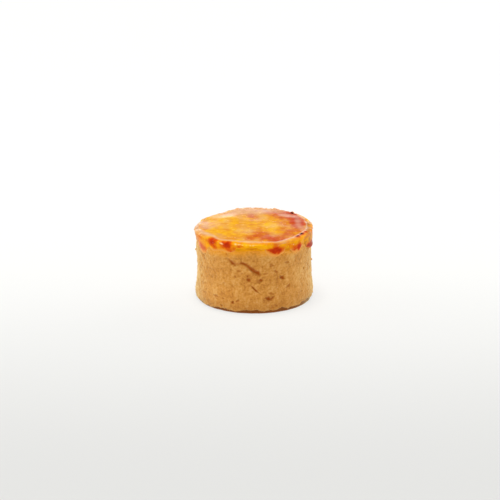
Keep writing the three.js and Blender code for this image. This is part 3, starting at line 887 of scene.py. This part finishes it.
# %% Scorch of the side
BLOT_TORN_ACROSS = LatticeNoise(1.2, 2.4, 3, 54)
BLOT_TORN_UP = LatticeNoise(0.9, 2.4, 3, 56)
SIDE_CLOUDS = LatticeNoise(0.16, 2.5, 3, 55)
WORN_CLOUDS = LatticeNoise(1.1, 2.0, 3, 71)
SIDE_BASE = 0.085
ON_PASTRY = 0.14
PASTRY_SPAN = (-1.2, 0.6)
SIDE_LIMIT = 0.71
DARKEST_DRIP = TurnStretch(73, 14, 0.08)
WORN_MEAN = 0.66
WORN_LIMIT = 0.9
WORN_RIGHT = TurnStretch(84, 32, 1.5)
WORN_LEFT = TurnStretch(-92, 28, 1.05)
RED_SPAN = (0.3, 0.6)


def side_scorch(bearing, height):
    """Scorch of the sugar over the edge: a thin base that is darker where it lies on pastry, plus the
    blots where it pooled, with edges shifted by noise. It is cut off at deep red, a little later on the
    darkest drip."""
    points = placed(bearing, FOOT_RADIUS, height)
    shift = noise_at(points, BLOT_TORN_ACROSS), noise_at(points, BLOT_TORN_UP)
    on_pastry = eased(rim_height(bearing) - height, *PASTRY_SPAN)
    scorch = SIDE_BASE + noise_at(points, SIDE_CLOUDS) + ON_PASTRY * on_pastry
    for blot in SIDE_BLOTS:
        scorch = scorch + blot.share * faded(from_side_spot(bearing, height, blot, *shift))
    return np.minimum(scorch, SIDE_LIMIT + stretch_at(bearing, DARKEST_DRIP))


def side_spots(bearing, height, spots):
    """How much of the listed spots of the side is at each point: the strongest of their shares."""
    return np.max([spot.share * faded(from_side_spot(bearing, height, spot)) for spot in spots], axis=0)


def worn_share(bearing, points):
    """How far the sugar wore thin at each point: two cloudy stretches, on the right and on the left."""
    cloudy = np.clip(WORN_MEAN + noise_at(points, WORN_CLOUDS), 0, WORN_LIMIT)
    sides = np.maximum(stretch_at(bearing, WORN_RIGHT), stretch_at(bearing, WORN_LEFT))
    return cloudy * np.minimum(1, sides)


def unburnt(scorch):
    """Share of a worn or thin place that still shows where the sugar is scorched: it is hidden from red
    on."""
    return 1 - eased(scorch, *RED_SPAN)


scorch = side_scorch(bearings(360), np.full((1, 360), SKIRT_END))
print("scorch along the sugar's mean edge from", scorch.min().round(2), "to", scorch.max().round(2))

# %% [markdown]
# ## The lid's edge
#
# The lip is a quarter of an ellipse that rises from the side to a crest. It is broad in front and on the
# right, and narrow where the crest curls up. Along the crest runs a painted highlight, a pale line in the
# sugar's colour. These values change round the turn only, so they are worked out once for the drips, the
# lip and the top.

# %% Widths and peaks of the lid's edge
LIP_WIDTHS = [
    (-180, 1.6), (-78, 1.6), (-62, 2.2), (-46, 3.0), (-35, 1.7), (-28, 2.5), (-19, 2.7), (-9, 3.4),
    (2.5, 3.0), (12, 1.9), (24, 0.9), (35, 1.1), (50, 1.9), (62, 2.3), (80, 2.8), (100, 3.2), (118, 2.6),
    (140, 1.6), (180, 1.6),
]
CREST_PEAKS = listed(
    TurnStretch,
    (-163, 2.2, 0.35), (-153, 2.2, 0.25), (-114, 2.2, 0.4), (136, 2.2, 0.6), (158, 2.2, 0.35),
    (165, 2.2, -0.35), (169, 2.2, -0.35),
)
BROAD_HIGHLIGHT = listed(TurnStretch, (46, 26, 0.25), (-6, 20, 0.4), (-64, 26, 0.9))
widths = [width for _, width in LIP_WIDTHS]
print("the lip is from", min(widths), "to", max(widths), "mm wide")

# %% The lid's edge
LIP_WAVES = listed(TurnWave, (0.12, 6, 0.4), (0.08, 15, -1))
LIP_SWELL = TurnStretch(-82, 16, 0.35)
LIP_RIPPLE = LatticeNoise(0.25, 3.0, 3, 64)
CREST_RIPPLE = LatticeNoise(0.4, 4.0, 2, 65)
CREST_CURL = TurnStretch(46, 26, 0.35)
TORN_SUGAR = LatticeNoise(1.1, 2.6, 3, 61)
# Where the painted highlight runs inside the crest, and how wide it is.
HIGHLIGHT_INSET = 0.1
HIGHLIGHT_HALF = 0.6
HIGHLIGHT_WANDER = LatticeNoise(0.3, 2.0, 2, 67)
HIGHLIGHT_WIDTHS = LatticeNoise(1.2, 6.0, 2, 68)
HIGHLIGHT_LIMITS = (0.5, 1.6)


def lid_edge(bearing):
    """The edge at each bearing: its outer radius, the lip's width, the radius, plain height and height of
    its crest, the height of its foot, where the sugar ends, and the painted highlight line's radius and
    half width.
    The lip's width is read off between the listed bearings."""
    line = placed(bearing, FOOT_RADIUS, 0)
    moved = waves_at(LIP_WAVES, bearing) + noise_at(line, LIP_RIPPLE)
    outer = LIP_RADIUS + moved + stretch_at(bearing, LIP_SWELL) - SAG_INSET * stretch_at(bearing, SAG)
    width = np.interp(np.degrees(turned_from(bearing, 0)), *zip(*LIP_WIDTHS))
    inner = outer - width
    level = lid_top(bearing, inner)
    peaks = sum(stretch_at(bearing, peak) for peak in [CREST_CURL, *CREST_PEAKS])
    broad = sum(stretch_at(bearing, stretch) for stretch in BROAD_HIGHLIGHT)
    return SimpleNamespace(
        outer=outer,
        width=width,
        inner=inner,
        level=level,
        crest=level + noise_at(line, CREST_RIPPLE) + peaks,
        foot=level - LIP_DROP,
        end=sugar_end(bearing) + noise_at(line, TORN_SUGAR),
        highlight_line=inner + HIGHLIGHT_INSET + noise_at(line, HIGHLIGHT_WANDER),
        highlight_half=HIGHLIGHT_HALF * np.clip(1 + noise_at(line, HIGHLIGHT_WIDTHS), *HIGHLIGHT_LIMITS) + broad,
    )


edge = lid_edge(bearings(360))
print("crest from", edge.crest.min().round(2), "to", edge.crest.max().round(2), "mm up")

# %% [markdown]
# ## The lid piece
#
# The skin runs under the lid, down behind the drips, round their thin ends, up over drips and lip, and in
# over the top. Its marks are the scorch, the painted highlight and sheen, how thin or worn the sugar is,
# how far it is on the side, where brighter colours are painted as light, and the painted glints.

# %% Rows of the drips
SKIRT_ROWS = 44
BEADS = SpotScatter(1.5, 0.25, 0.6, 0.4, 66)
BEAD_RISE = 0.5
BEAD_SPAN = (0.5, 0.1)
BEAD_GLINT_SPAN = (0.16, 0.4)
BEAD_GLINT_PALENESS = 0.4
BLISTER = SlantedSpot(77, 27.0, 2.8, 1.4, 0, 0.8)
SUGAR_LUMPS = LatticeNoise(0.14, 2.0, 3, 62)
SUGAR_FADE = LatticeNoise(0.6, 1.5, 2, 70)
ENDING_SPAN = (0.2, 3.0)
THIN_SPAN = (-1.2, 0.3)
FILM_RISE = 0.08
HIDDEN_SCORCH = 0.1
HIDDEN_EDGE = 0.35


def bead_glints(beads):
    """How pale each bead is painted: the taller ones get a painted glint."""
    return BEAD_GLINT_PALENESS * eased(beads, *BEAD_GLINT_SPAN)


def drip_rows(bearing, edge):
    """Rows of the sugar over the edge, from its thin lower end up to the lip's foot. It stands proud of
    what is behind it by a share that grows upwards, plus the drips' bulges, a blister, lumps and beads.
    It thins out towards its lower end where that lies on pastry."""
    down = np.concatenate([[1.0], np.linspace(0.995, 0, SKIRT_ROWS) ** 1.2])[:, None]
    heights = mixed(edge.foot, edge.end, down)
    around = np.broadcast_to(bearing, heights.shape)
    surface = placed(bearing, FOOT_RADIUS, heights)
    behind = np.maximum(band_radius(bearing), wall_radius(bearing, heights))
    start = np.maximum(band_radius(bearing), wall_radius(bearing, edge.foot))
    proud = (edge.outer - start) * (1 - down) ** 1.2 + FILM_RISE * (np.sin(math.pi * down) - down)
    for drip, share in zip(DRIPS, drip_shares(bearing)):
        proud = proud + drip.bulge * share * np.sin(math.pi * down**1.4) ** 0.7
    blister = BLISTER.share * faded(from_side_spot(bearing, heights, BLISTER))
    lumps = noise_at(surface, SUGAR_LUMPS) * np.sin(math.pi * np.clip(0.9 * down + 0.1, 0, 1))
    beads = scattered(around, heights, BEADS) * eased(down, *BEAD_SPAN)
    radius = behind + proud + blister + lumps + BEAD_RISE * beads
    scorch = side_scorch(around, heights)
    frost = np.maximum(bead_glints(beads), side_spots(around, heights, SIDE_SHEENS))
    on_pastry = eased(rim_height(bearing) - heights, *THIN_SPAN)
    ending = 1 - eased(heights - edge.end + noise_at(surface, SUGAR_FADE), *ENDING_SPAN)
    thin = np.maximum(on_pastry * ending, worn_share(bearing, surface)) * unburnt(scorch)
    glint = side_spots(around, heights, GLINTS)
    rows = [(behind[0] - HIDDEN_EDGE, heights[0], HIDDEN_SCORCH, 0, 1, 1, 0)]
    return rows + list(zip(radius, heights, scorch, frost, thin, np.ones(heights.shape), glint))


print("beads of sugar up to", 2 * BEADS.large, "mm long")

# %% Rows of the lip and the top
LIP_ROWS = 20
TOP_ROWS = 70
TOP_BLISTERS = LatticeNoise(0.08, 4.5, 3, 63)
# Shares of the top's radius over which its blisters fade out, and over which it joins the crest.
BLISTER_SPAN = (1.0, 0.9)
JOIN_SPAN = (1.0, 0.95)
# The lip's tilt in radians over which its scorch becomes the top's, and over which it leaves the side.
TOP_SPAN = (1.0, 1.5)
SIDE_SPAN = (0.8, 1.45)
LIP_BEAD_SPAN = (0.3, 0.8)
# Painted shadow: a darker line in front just under the crest, and where and how wide it lies.
UNDER_CREST_SHADOW = TurnStretch(5, 45, 0.18)
UNDER_CREST_SHARE = 0.55
UNDER_CREST_OUT = 0.3
UNDER_CREST_HALF = 0.45
INSIDE_CREST = TurnStretch(28, 26, 0.16)
INSIDE_CREST_IN = 1.0
INSIDE_CREST_HALF = 0.5
# On the left of the lip's slope, which the left lamp lights, the painted side glow is left out.
NO_GLOW_SLOPE = TurnStretch(-68, 26, 1)


def lip_rows(bearing, edge):
    """Rows of the lip, a quarter of an ellipse from its foot to its crest. Its scorch passes from the
    side's to the top's, with a painted shadow, a brown line in front just under the crest."""
    tilt = np.linspace(0, math.pi / 2, LIP_ROWS + 1)[1:, None]
    heights = mixed(edge.foot, edge.crest, np.sin(tilt))
    around = np.broadcast_to(bearing, heights.shape)
    beads = scattered(around, heights, BEADS) * eased(np.cos(tilt), *LIP_BEAD_SPAN)
    radius = edge.inner + edge.width * np.cos(tilt) + BEAD_RISE * beads
    points = placed(bearing, radius, heights)
    burn, hidden = burnt_marks(points)
    scorch = mixed(side_scorch(around, heights), top_scorch(points), eased(tilt, *TOP_SPAN))
    out = radius - edge.inner - UNDER_CREST_SHARE * edge.width - UNDER_CREST_OUT
    scorch = scorch + burn + bell(out, UNDER_CREST_HALF) * stretch_at(bearing, UNDER_CREST_SHADOW)
    frost = np.maximum(bell(radius - edge.highlight_line, edge.highlight_half), bead_glints(beads)) * (1 - hidden)
    thin = worn_share(bearing, points) * unburnt(scorch)
    side = (1 - eased(tilt, *SIDE_SPAN)) * (1 - stretch_at(bearing, NO_GLOW_SLOPE))
    return list(zip(radius, heights, scorch, frost, thin, side, side_spots(around, heights, GLINTS)))


def top_rows(bearing, edge):
    """Rows of the top from the crest in to the axis: the dome and low blisters, joined to the crest's own
    height over a narrow strip, with a brown line inside the crest on the right of the front."""
    share = np.linspace(1, 0, TOP_ROWS + 1)[1:, None] ** 0.8
    radius = edge.inner * share
    relief = noise_at(placed(bearing, radius, 0), TOP_BLISTERS) * eased(share, *BLISTER_SPAN)
    joined = mixed(edge.crest - edge.level, 0, eased(share, *JOIN_SPAN))
    points = placed(bearing, radius, HEIGHT)
    burn, hidden = burnt_marks(points)
    inside = bell(edge.inner - radius - INSIDE_CREST_IN, INSIDE_CREST_HALF)
    scorch = top_scorch(points) + burn + inside * stretch_at(bearing, INSIDE_CREST)
    frost = np.maximum(bell(radius - edge.highlight_line, edge.highlight_half), sheen(points)) * (1 - hidden)
    heights = lid_top(bearing, radius) + relief + joined
    return [(*row, 0, 0, 0) for row in zip(radius, heights, scorch, frost)]


print(LIP_ROWS, "rows of the lip and", TOP_ROWS, "of the top")

# %% Make the sugar lid
LID_COLUMNS = 620
HIDDEN_INSET = 0.3


def lid_rows(bearing):
    """Radius, height and marks (scorch, painted highlight, thin, side, glint) of each row of the lid's
    skin.
    """
    edge = lid_edge(bearing)
    rows = []
    for share in (0, 0.35, 0.7, 0.93):
        under = lid_top(bearing, share * BAND_RADIUS) - LID_THICKNESS
        rows.append((share * BAND_RADIUS, under, HIDDEN_SCORCH, 0, 0, 0, 0))
    rows.append((band_radius(bearing) - HIDDEN_INSET, edge.foot, HIDDEN_SCORCH, 0, 0, 1, 0))
    rows += drip_rows(bearing, edge) + lip_rows(bearing, edge) + top_rows(bearing, edge)
    return stacked(rows, bearing.shape)


bearing = bearings(LID_COLUMNS)
radius, height, scorch, frost, thin, side, glint = lid_rows(bearing)
points = placed(bearing, radius, height)
marks = {"scorch": np.clip(scorch, 0, 1), "frost": frost, "thin": thin, "side": side, "glint": glint}
marks["worn"] = worn_share(bearing, points)
lid = skin("caramel_lid", points, marks)

# %% [markdown]
# ## Finishes
#
# Colours are written as sRGB hex values, the way a colour picker shows them, and turned to linear light
# once. One small function adds a node: its settings are properties, and its inputs are values or the
# outputs of other nodes. A Mix node for colours takes its share, first and second colour in sockets 0, 6
# and 7, and gives the result in output 2.


# %% Colour and node helpers
def linear(code):
    """sRGB hex code to linear RGBA: c / 12.92 for dark values, ((c + 0.055) / 1.055) ^ 2.4 for the
    rest."""
    srgb = np.array([int(code[place:place + 2], 16) for place in (1, 3, 5)]) / 255
    light = np.where(srgb <= 0.04045, srgb / 12.92, ((srgb + 0.055) / 1.055) ** 2.4)
    return (*light.tolist(), 1.0)


def add(tree, kind, inputs=(), stops=(), **settings):
    """Adds a node: settings are set on it, inputs are values or links, and stops are a ramp's (place,
    hex). A new ramp has two stops, which become the first two that are given."""
    node = tree.nodes.new(kind)
    for name, value in settings.items():
        setattr(node, name, value)
    for socket, value in dict(inputs).items():
        if isinstance(value, bpy.types.NodeSocket):
            tree.links.new(value, node.inputs[socket])
        else:
            node.inputs[socket].default_value = value
    for number, (place, code) in enumerate(stops):
        band = node.color_ramp.elements
        stop = band[number] if number < 2 else band.new(place)
        stop.position = place
        stop.color = linear(code)
    return node


def new_material(name):
    """An empty node material, with its tree."""
    material = bpy.data.materials.new(name)
    material.use_nodes = True
    material.node_tree.nodes.clear()
    return material, material.node_tree


print("middle grey in linear light:", linear("#808080"))

# %% [markdown]
# Shortcrust is flour, butter and sugar, baked matte. Its faces that touched the metal are evenly golden,
# its rim is stained where syrup soaked in, and its foot, which stood on the tray, is browned. Painted shade
# darkens its pits, seams and cracks, its foot and the lowest part of its side, and its colour follows the
# relief: raised crumbs are painted lighter and low places darker. Flour dust gives it a soft pale sheen at
# a slant.

# %% Baked shortcrust
MOTTLE = 6.0
SPECK = 0.55
SPECK_RISE = 0.15

crust, tree = new_material("baked_shortcrust")
where = add(tree, "ShaderNodeTexCoord").outputs["Object"]
mottle = add(tree, "ShaderNodeTexNoise", {"Vector": where, "Scale": 1 / (MOTTLE * MM), "Detail": 3.0})
speck = add(tree, "ShaderNodeTexNoise", {"Vector": where, "Scale": 1 / (SPECK * MM), "Detail": 2.0})
crumb_light_and_shade = add(tree, "ShaderNodeAttribute", attribute_name="crumb")
# Speck and mottle vary the tone at random; the crumb mark adds painted light and shade that follow the
# relief.
tone = 0.0
for pattern, weight in ((speck, 0.2), (crumb_light_and_shade, 0.35), (mottle, 0.45)):
    parts = {0: pattern.outputs["Fac"], 1: weight, 2: tone}
    tone = add(tree, "ShaderNodeMath", parts, operation="MULTIPLY_ADD").outputs[0]
GOLDEN = [(0.28, "#A76526"), (0.5, "#C8883A"), (0.72, "#D8A35B")]
colour = add(tree, "ShaderNodeValToRGB", {"Fac": tone}, stops=GOLDEN).outputs["Color"]
# Painted shade in pits, seams and cracks, stain where syrup soaked in, and browning with painted shade at
# the foot, each mixed in by its mark.
for mark, code in (("cavity", "#984600"), ("stain", "#EC9B20"), ("browned", "#7E4314")):
    share = add(tree, "ShaderNodeAttribute", attribute_name=mark).outputs["Fac"]
    colour = add(tree, "ShaderNodeMix", {0: share, 6: colour, 7: linear(code)}, data_type="RGBA").outputs[2]
bump = add(
    tree, "ShaderNodeBump", {"Height": speck.outputs["Fac"], "Distance": SPECK_RISE * MM, "Strength": 0.5},
)
surface = add(
    tree, "ShaderNodeBsdfPrincipled",
    {"Base Color": colour, "Roughness": 0.8, "IOR": 1.45, "Specular IOR Level": 0.1, "Sheen Weight": 0.68,
     "Sheen Roughness": 0.45, "Sheen Tint": linear("#F8F8C2"), "Normal": bump.outputs["Normal"]},
)
add(tree, "ShaderNodeOutputMaterial", {"Surface": surface.outputs["BSDF"]})
print(crust.name, "has", len(tree.nodes), "nodes")

# %% [markdown]
# Set custard is smooth, moist and a little translucent, so light bleeds inside it before it comes back
# yellow.

# %% Set lemon custard
CLOUDING = 3.0
BLEED = 1.5

curd, tree = new_material("set_lemon_custard")
where = add(tree, "ShaderNodeTexCoord").outputs["Object"]
clouding = add(tree, "ShaderNodeTexNoise", {"Vector": where, "Scale": 1 / (CLOUDING * MM), "Detail": 3.0})
YELLOW = [(0.3, "#E09206"), (0.5, "#E89E08"), (0.7, "#F0AA0A")]
yellow = add(tree, "ShaderNodeValToRGB", {"Fac": clouding.outputs["Fac"]}, stops=YELLOW).outputs["Color"]
baked = add(tree, "ShaderNodeAttribute", attribute_name="baked").outputs["Fac"]
deepened = add(tree, "ShaderNodeMix", {0: baked, 6: yellow, 7: linear("#CC7A04")}, data_type="RGBA")
surface = add(
    tree, "ShaderNodeBsdfPrincipled",
    {"Base Color": deepened.outputs[2], "Roughness": 0.28, "IOR": 1.4, "Specular IOR Level": 0.08,
     "Subsurface Weight": 0.15, "Subsurface Radius": (1.0, 0.6, 0.15), "Subsurface Scale": BLEED * MM},
)
add(tree, "ShaderNodeOutputMaterial", {"Surface": surface.outputs["BSDF"]})
print(curd.name, "has", len(tree.nodes), "nodes")

# %% [markdown]
# Caramelised sugar is glassy. The scorch at each point picks its colour, from the custard's yellow
# through amber to burnt red-brown. On the side a brighter copy of these colours is painted light, for
# light that glows through the sugar. Thin sugar shows the pastry behind it, a painted highlight and
# painted sheen mix in a pale colour, and painted glints stand where a small facet would shine. Its
# gloss varies, as on sugar that took up some moisture.

# %% Colours of the sugar
AMBER = [
    (0.0, "#EAAF0A"), (1.0, "#2C0D08"), (0.14, "#DF9A0A"), (0.28, "#D5820D"), (0.42, "#C86414"),
    (0.55, "#C0470C"), (0.7, "#BB2C04"), (0.82, "#942003"), (0.92, "#5E1405"),
]
# A brighter copy of the sugar's colours for its side: painted light, for light that glows down through the
# sugar.
SIDE_GLOW = [
    (0.0, "#F2B006"), (1.0, "#2C0D08"), (0.14, "#EA9D08"), (0.28, "#E08008"), (0.42, "#D45E06"),
    (0.55, "#C84204"), (0.7, "#B82E03"), (0.82, "#942203"), (0.92, "#661605"),
]
print("sugar goes from", AMBER[0][1], "to", AMBER[1][1], "in", len(AMBER), "stops")

# %% Caramelised sugar
STREAK = 2.2
STREAK_SCORCH = 0.08
FILM = 2.4
HIGHLIGHT_VEIL = 0.6

caramel, tree = new_material("caramelised_sugar")
where = add(tree, "ShaderNodeTexCoord").outputs["Object"]
burnt, highlight_share, on_side, is_thin, is_worn, in_glint = [
    add(tree, "ShaderNodeAttribute", attribute_name=mark).outputs["Fac"]
    for mark in ("scorch", "frost", "side", "thin", "worn", "glint")
]
streak = add(tree, "ShaderNodeTexNoise", {"Vector": where, "Scale": 1 / (STREAK * MM), "Detail": 3.0})
wander = add(
    tree, "ShaderNodeMapRange",
    {"Value": streak.outputs["Fac"], "From Min": 0.3, "From Max": 0.7, "To Min": -STREAK_SCORCH,
     "To Max": STREAK_SCORCH},
)
summed = {0: burnt, 1: wander.outputs["Result"]}
depth = add(tree, "ShaderNodeMath", summed, operation="ADD", use_clamp=True).outputs[0]
amber, side_glow = [
    add(tree, "ShaderNodeValToRGB", {"Fac": depth}, stops=stops).outputs["Color"]
    for stops in (AMBER, SIDE_GLOW)
]
# Painted highlight and sheen veil the sugar in a pale colour; painted glints add a paler one.
veil = add(tree, "ShaderNodeMath", {0: highlight_share, 1: HIGHLIGHT_VEIL}, operation="MULTIPLY").outputs[0]
thin_shades = {0: is_worn, 6: linear("#DE9A46"), 7: linear("#AC6C28")}
thin_sugar = add(tree, "ShaderNodeMix", thin_shades, data_type="RGBA").outputs[2]
colour = amber
for share, other in (
    (on_side, side_glow), (is_thin, thin_sugar), (veil, linear("#D8B496")), (in_glint, linear("#F4CE92")),
):
    colour = add(tree, "ShaderNodeMix", {0: share, 6: colour, 7: other}, data_type="RGBA").outputs[2]
film = add(tree, "ShaderNodeTexNoise", {"Vector": where, "Scale": 1 / (FILM * MM), "Detail": 2.0})
gloss = add(
    tree, "ShaderNodeMapRange",
    {"Value": film.outputs["Fac"], "From Min": 0.3, "From Max": 0.7, "To Min": 0.12, "To Max": 0.3},
)
surface = add(
    tree, "ShaderNodeBsdfPrincipled",
    {"Base Color": colour, "Roughness": gloss.outputs["Result"], "IOR": 1.5, "Specular IOR Level": 0.05},
)
add(tree, "ShaderNodeOutputMaterial", {"Surface": surface.outputs["BSDF"]})
print(caramel.name, "has", len(tree.nodes), "nodes")

# %% [markdown]
# ## Joining the pieces to the frame
#
# Each piece rides on the part's one body, stands for its solid and takes the finish made for it here.

# %% Ride, replace and dress
for piece, node, slot, material in (
    (pastry, "pastry_case", "pastry", crust),
    (crumbs, None, "pastry", crust),
    (custard, "lemon_filling", "filling", curd),
    (lid, "sugar_lid", "sugar", caramel),
):
    piece.data.materials.append(material)
    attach(piece, "root")
    if node:
        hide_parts(node)
    print(piece.name, "stands for", node or "no solid")

# %% [markdown]
# ## Floor, light and camera
#
# The tart stands on a sheet of white acrylic, lit from below; its glow is painted a little dimmer towards
# the camera, as painted shade. A soft box overhead gives most of the light, and a bright band low round the
# walls gives the lid its pale film at a slant. Boxes at both sides and in front fill in. Glossy faces
# don't mirror these three, so that the lid isn't bleached when it is seen from a side. The camera looks
# down on the tart by about 18 degrees through a long lens.

# %% Floor
FLOOR_HALF = 3.0
# The floor's glow in front and behind, painted dimmer in front as shade, and the two places along Y in
# metres between which it changes.
NEAR_GLOW, FAR_GLOW = 0.55, 0.77
NEAR, FAR = -0.25, 0.1

floor_mesh = bpy.data.meshes.new("floor")
corners = np.array([(-1, -1, 0), (1, -1, 0), (1, 1, 0), (-1, 1, 0)]) * FLOOR_HALF
floor_mesh.from_pydata(corners, [], [(0, 1, 2, 3)])
floor = bpy.data.objects.new("floor", floor_mesh)
bpy.context.scene.collection.objects.link(floor)
acrylic, tree = new_material("backlit_white_acrylic")
where = add(tree, "ShaderNodeTexCoord").outputs["Object"]
away = add(tree, "ShaderNodeSeparateXYZ", {"Vector": where}).outputs["Y"]
glow = add(
    tree, "ShaderNodeMapRange",
    {"Value": away, "From Min": NEAR, "From Max": FAR, "To Min": NEAR_GLOW, "To Max": FAR_GLOW},
    interpolation_type="SMOOTHSTEP",
)
surface = add(
    tree, "ShaderNodeBsdfPrincipled",
    {"Base Color": linear("#777775"), "Roughness": 0.9, "Specular IOR Level": 0.1,
     "Emission Color": linear("#FFFFFD"), "Emission Strength": glow.outputs["Result"]},
)
add(tree, "ShaderNodeOutputMaterial", {"Surface": surface.outputs["BSDF"]})
floor_mesh.materials.append(acrylic)
print("floor of", acrylic.name, "is", 2 * FLOOR_HALF, "m wide")

# %% Light
WALL_LIGHT, ROOM_LIGHT = 2.7, 0.25
# How steeply a direction points up, as a sine, where the walls' light starts to fade and where it ends.
WALL_TOP, ROOM_START = 0.12, 0.22

world = bpy.data.worlds.new("bright_room")
bpy.context.scene.world = world
world.use_nodes = True
tree = world.node_tree
tree.nodes.clear()
direction = add(tree, "ShaderNodeTexCoord").outputs["Generated"]
upward = add(tree, "ShaderNodeSeparateXYZ", {"Vector": direction}).outputs["Z"]
level = add(
    tree, "ShaderNodeMapRange",
    {"Value": upward, "From Min": WALL_TOP, "From Max": ROOM_START,
     "To Min": WALL_LIGHT, "To Max": ROOM_LIGHT},
    interpolation_type="SMOOTHSTEP",
)
glow = add(tree, "ShaderNodeBackground", {"Color": linear("#FFFFFF"), "Strength": level.outputs["Result"]})
add(tree, "ShaderNodeOutputWorld", {"Surface": glow.outputs["Background"]})


def soft_box(name, place, size, brightness, mirrored):
    """A square area light at a place in metres that faces the tart. Its power is brightness x pi x area.
    Where it isn't mirrored, glossy faces don't show it."""
    light = bpy.data.lights.new(name, "AREA")
    light.shape = "SQUARE"
    light.size = size
    light.energy = brightness * math.pi * size**2
    holder = bpy.data.objects.new(name, light)
    bpy.context.scene.collection.objects.link(holder)
    holder.location = place
    holder.visible_glossy = mirrored
    x, y, z = place
    holder.rotation_euler = (math.atan2(math.hypot(x, y), z), 0, math.atan2(y, x) + math.pi / 2)
    print(name, "gives", round(light.energy, 1), "W")


soft_box("overhead_light", (-0.2, 0.0, 2.8), 1.0, 18.2, True)
soft_box("left_light", (-1.2, 0.15, 0.45), 0.9, 2.0, False)
soft_box("right_light", (1.05, 0.7, 0.45), 0.9, 3.0, False)
soft_box("front_light", (-0.3, -2.6, 1.5), 1.8, 1.6, False)

# %% Camera
CAMERA_ELEVATION = math.radians(18.49)
CAMERA_DISTANCE = 2.0508
AIM_HEIGHT = 0.017
SENSOR_WIDTH = 36
FRAME_PIXELS = 500
FOCAL_PIXELS = 4400
AIM_PIXEL = (253.64, 260.77)

camera_data = bpy.data.cameras.new("camera")
camera = bpy.data.objects.new("camera", camera_data)
bpy.context.scene.collection.objects.link(camera)
camera_data.sensor_width = SENSOR_WIDTH
camera_data.lens = SENSOR_WIDTH * FOCAL_PIXELS / FRAME_PIXELS
camera_data.shift_x = (FRAME_PIXELS / 2 - AIM_PIXEL[0]) / FRAME_PIXELS
camera_data.shift_y = (AIM_PIXEL[1] - FRAME_PIXELS / 2) / FRAME_PIXELS
back = CAMERA_DISTANCE * math.cos(CAMERA_ELEVATION)
up = CAMERA_DISTANCE * math.sin(CAMERA_ELEVATION)
camera.location = (0, -back, AIM_HEIGHT + up)
camera.rotation_euler = (math.pi / 2 - CAMERA_ELEVATION, 0, 0)
bpy.context.scene.camera = camera
bpy.context.scene.view_settings.view_transform = "Standard"
print("lens of", round(camera_data.lens), "mm from", CAMERA_DISTANCE, "m away")
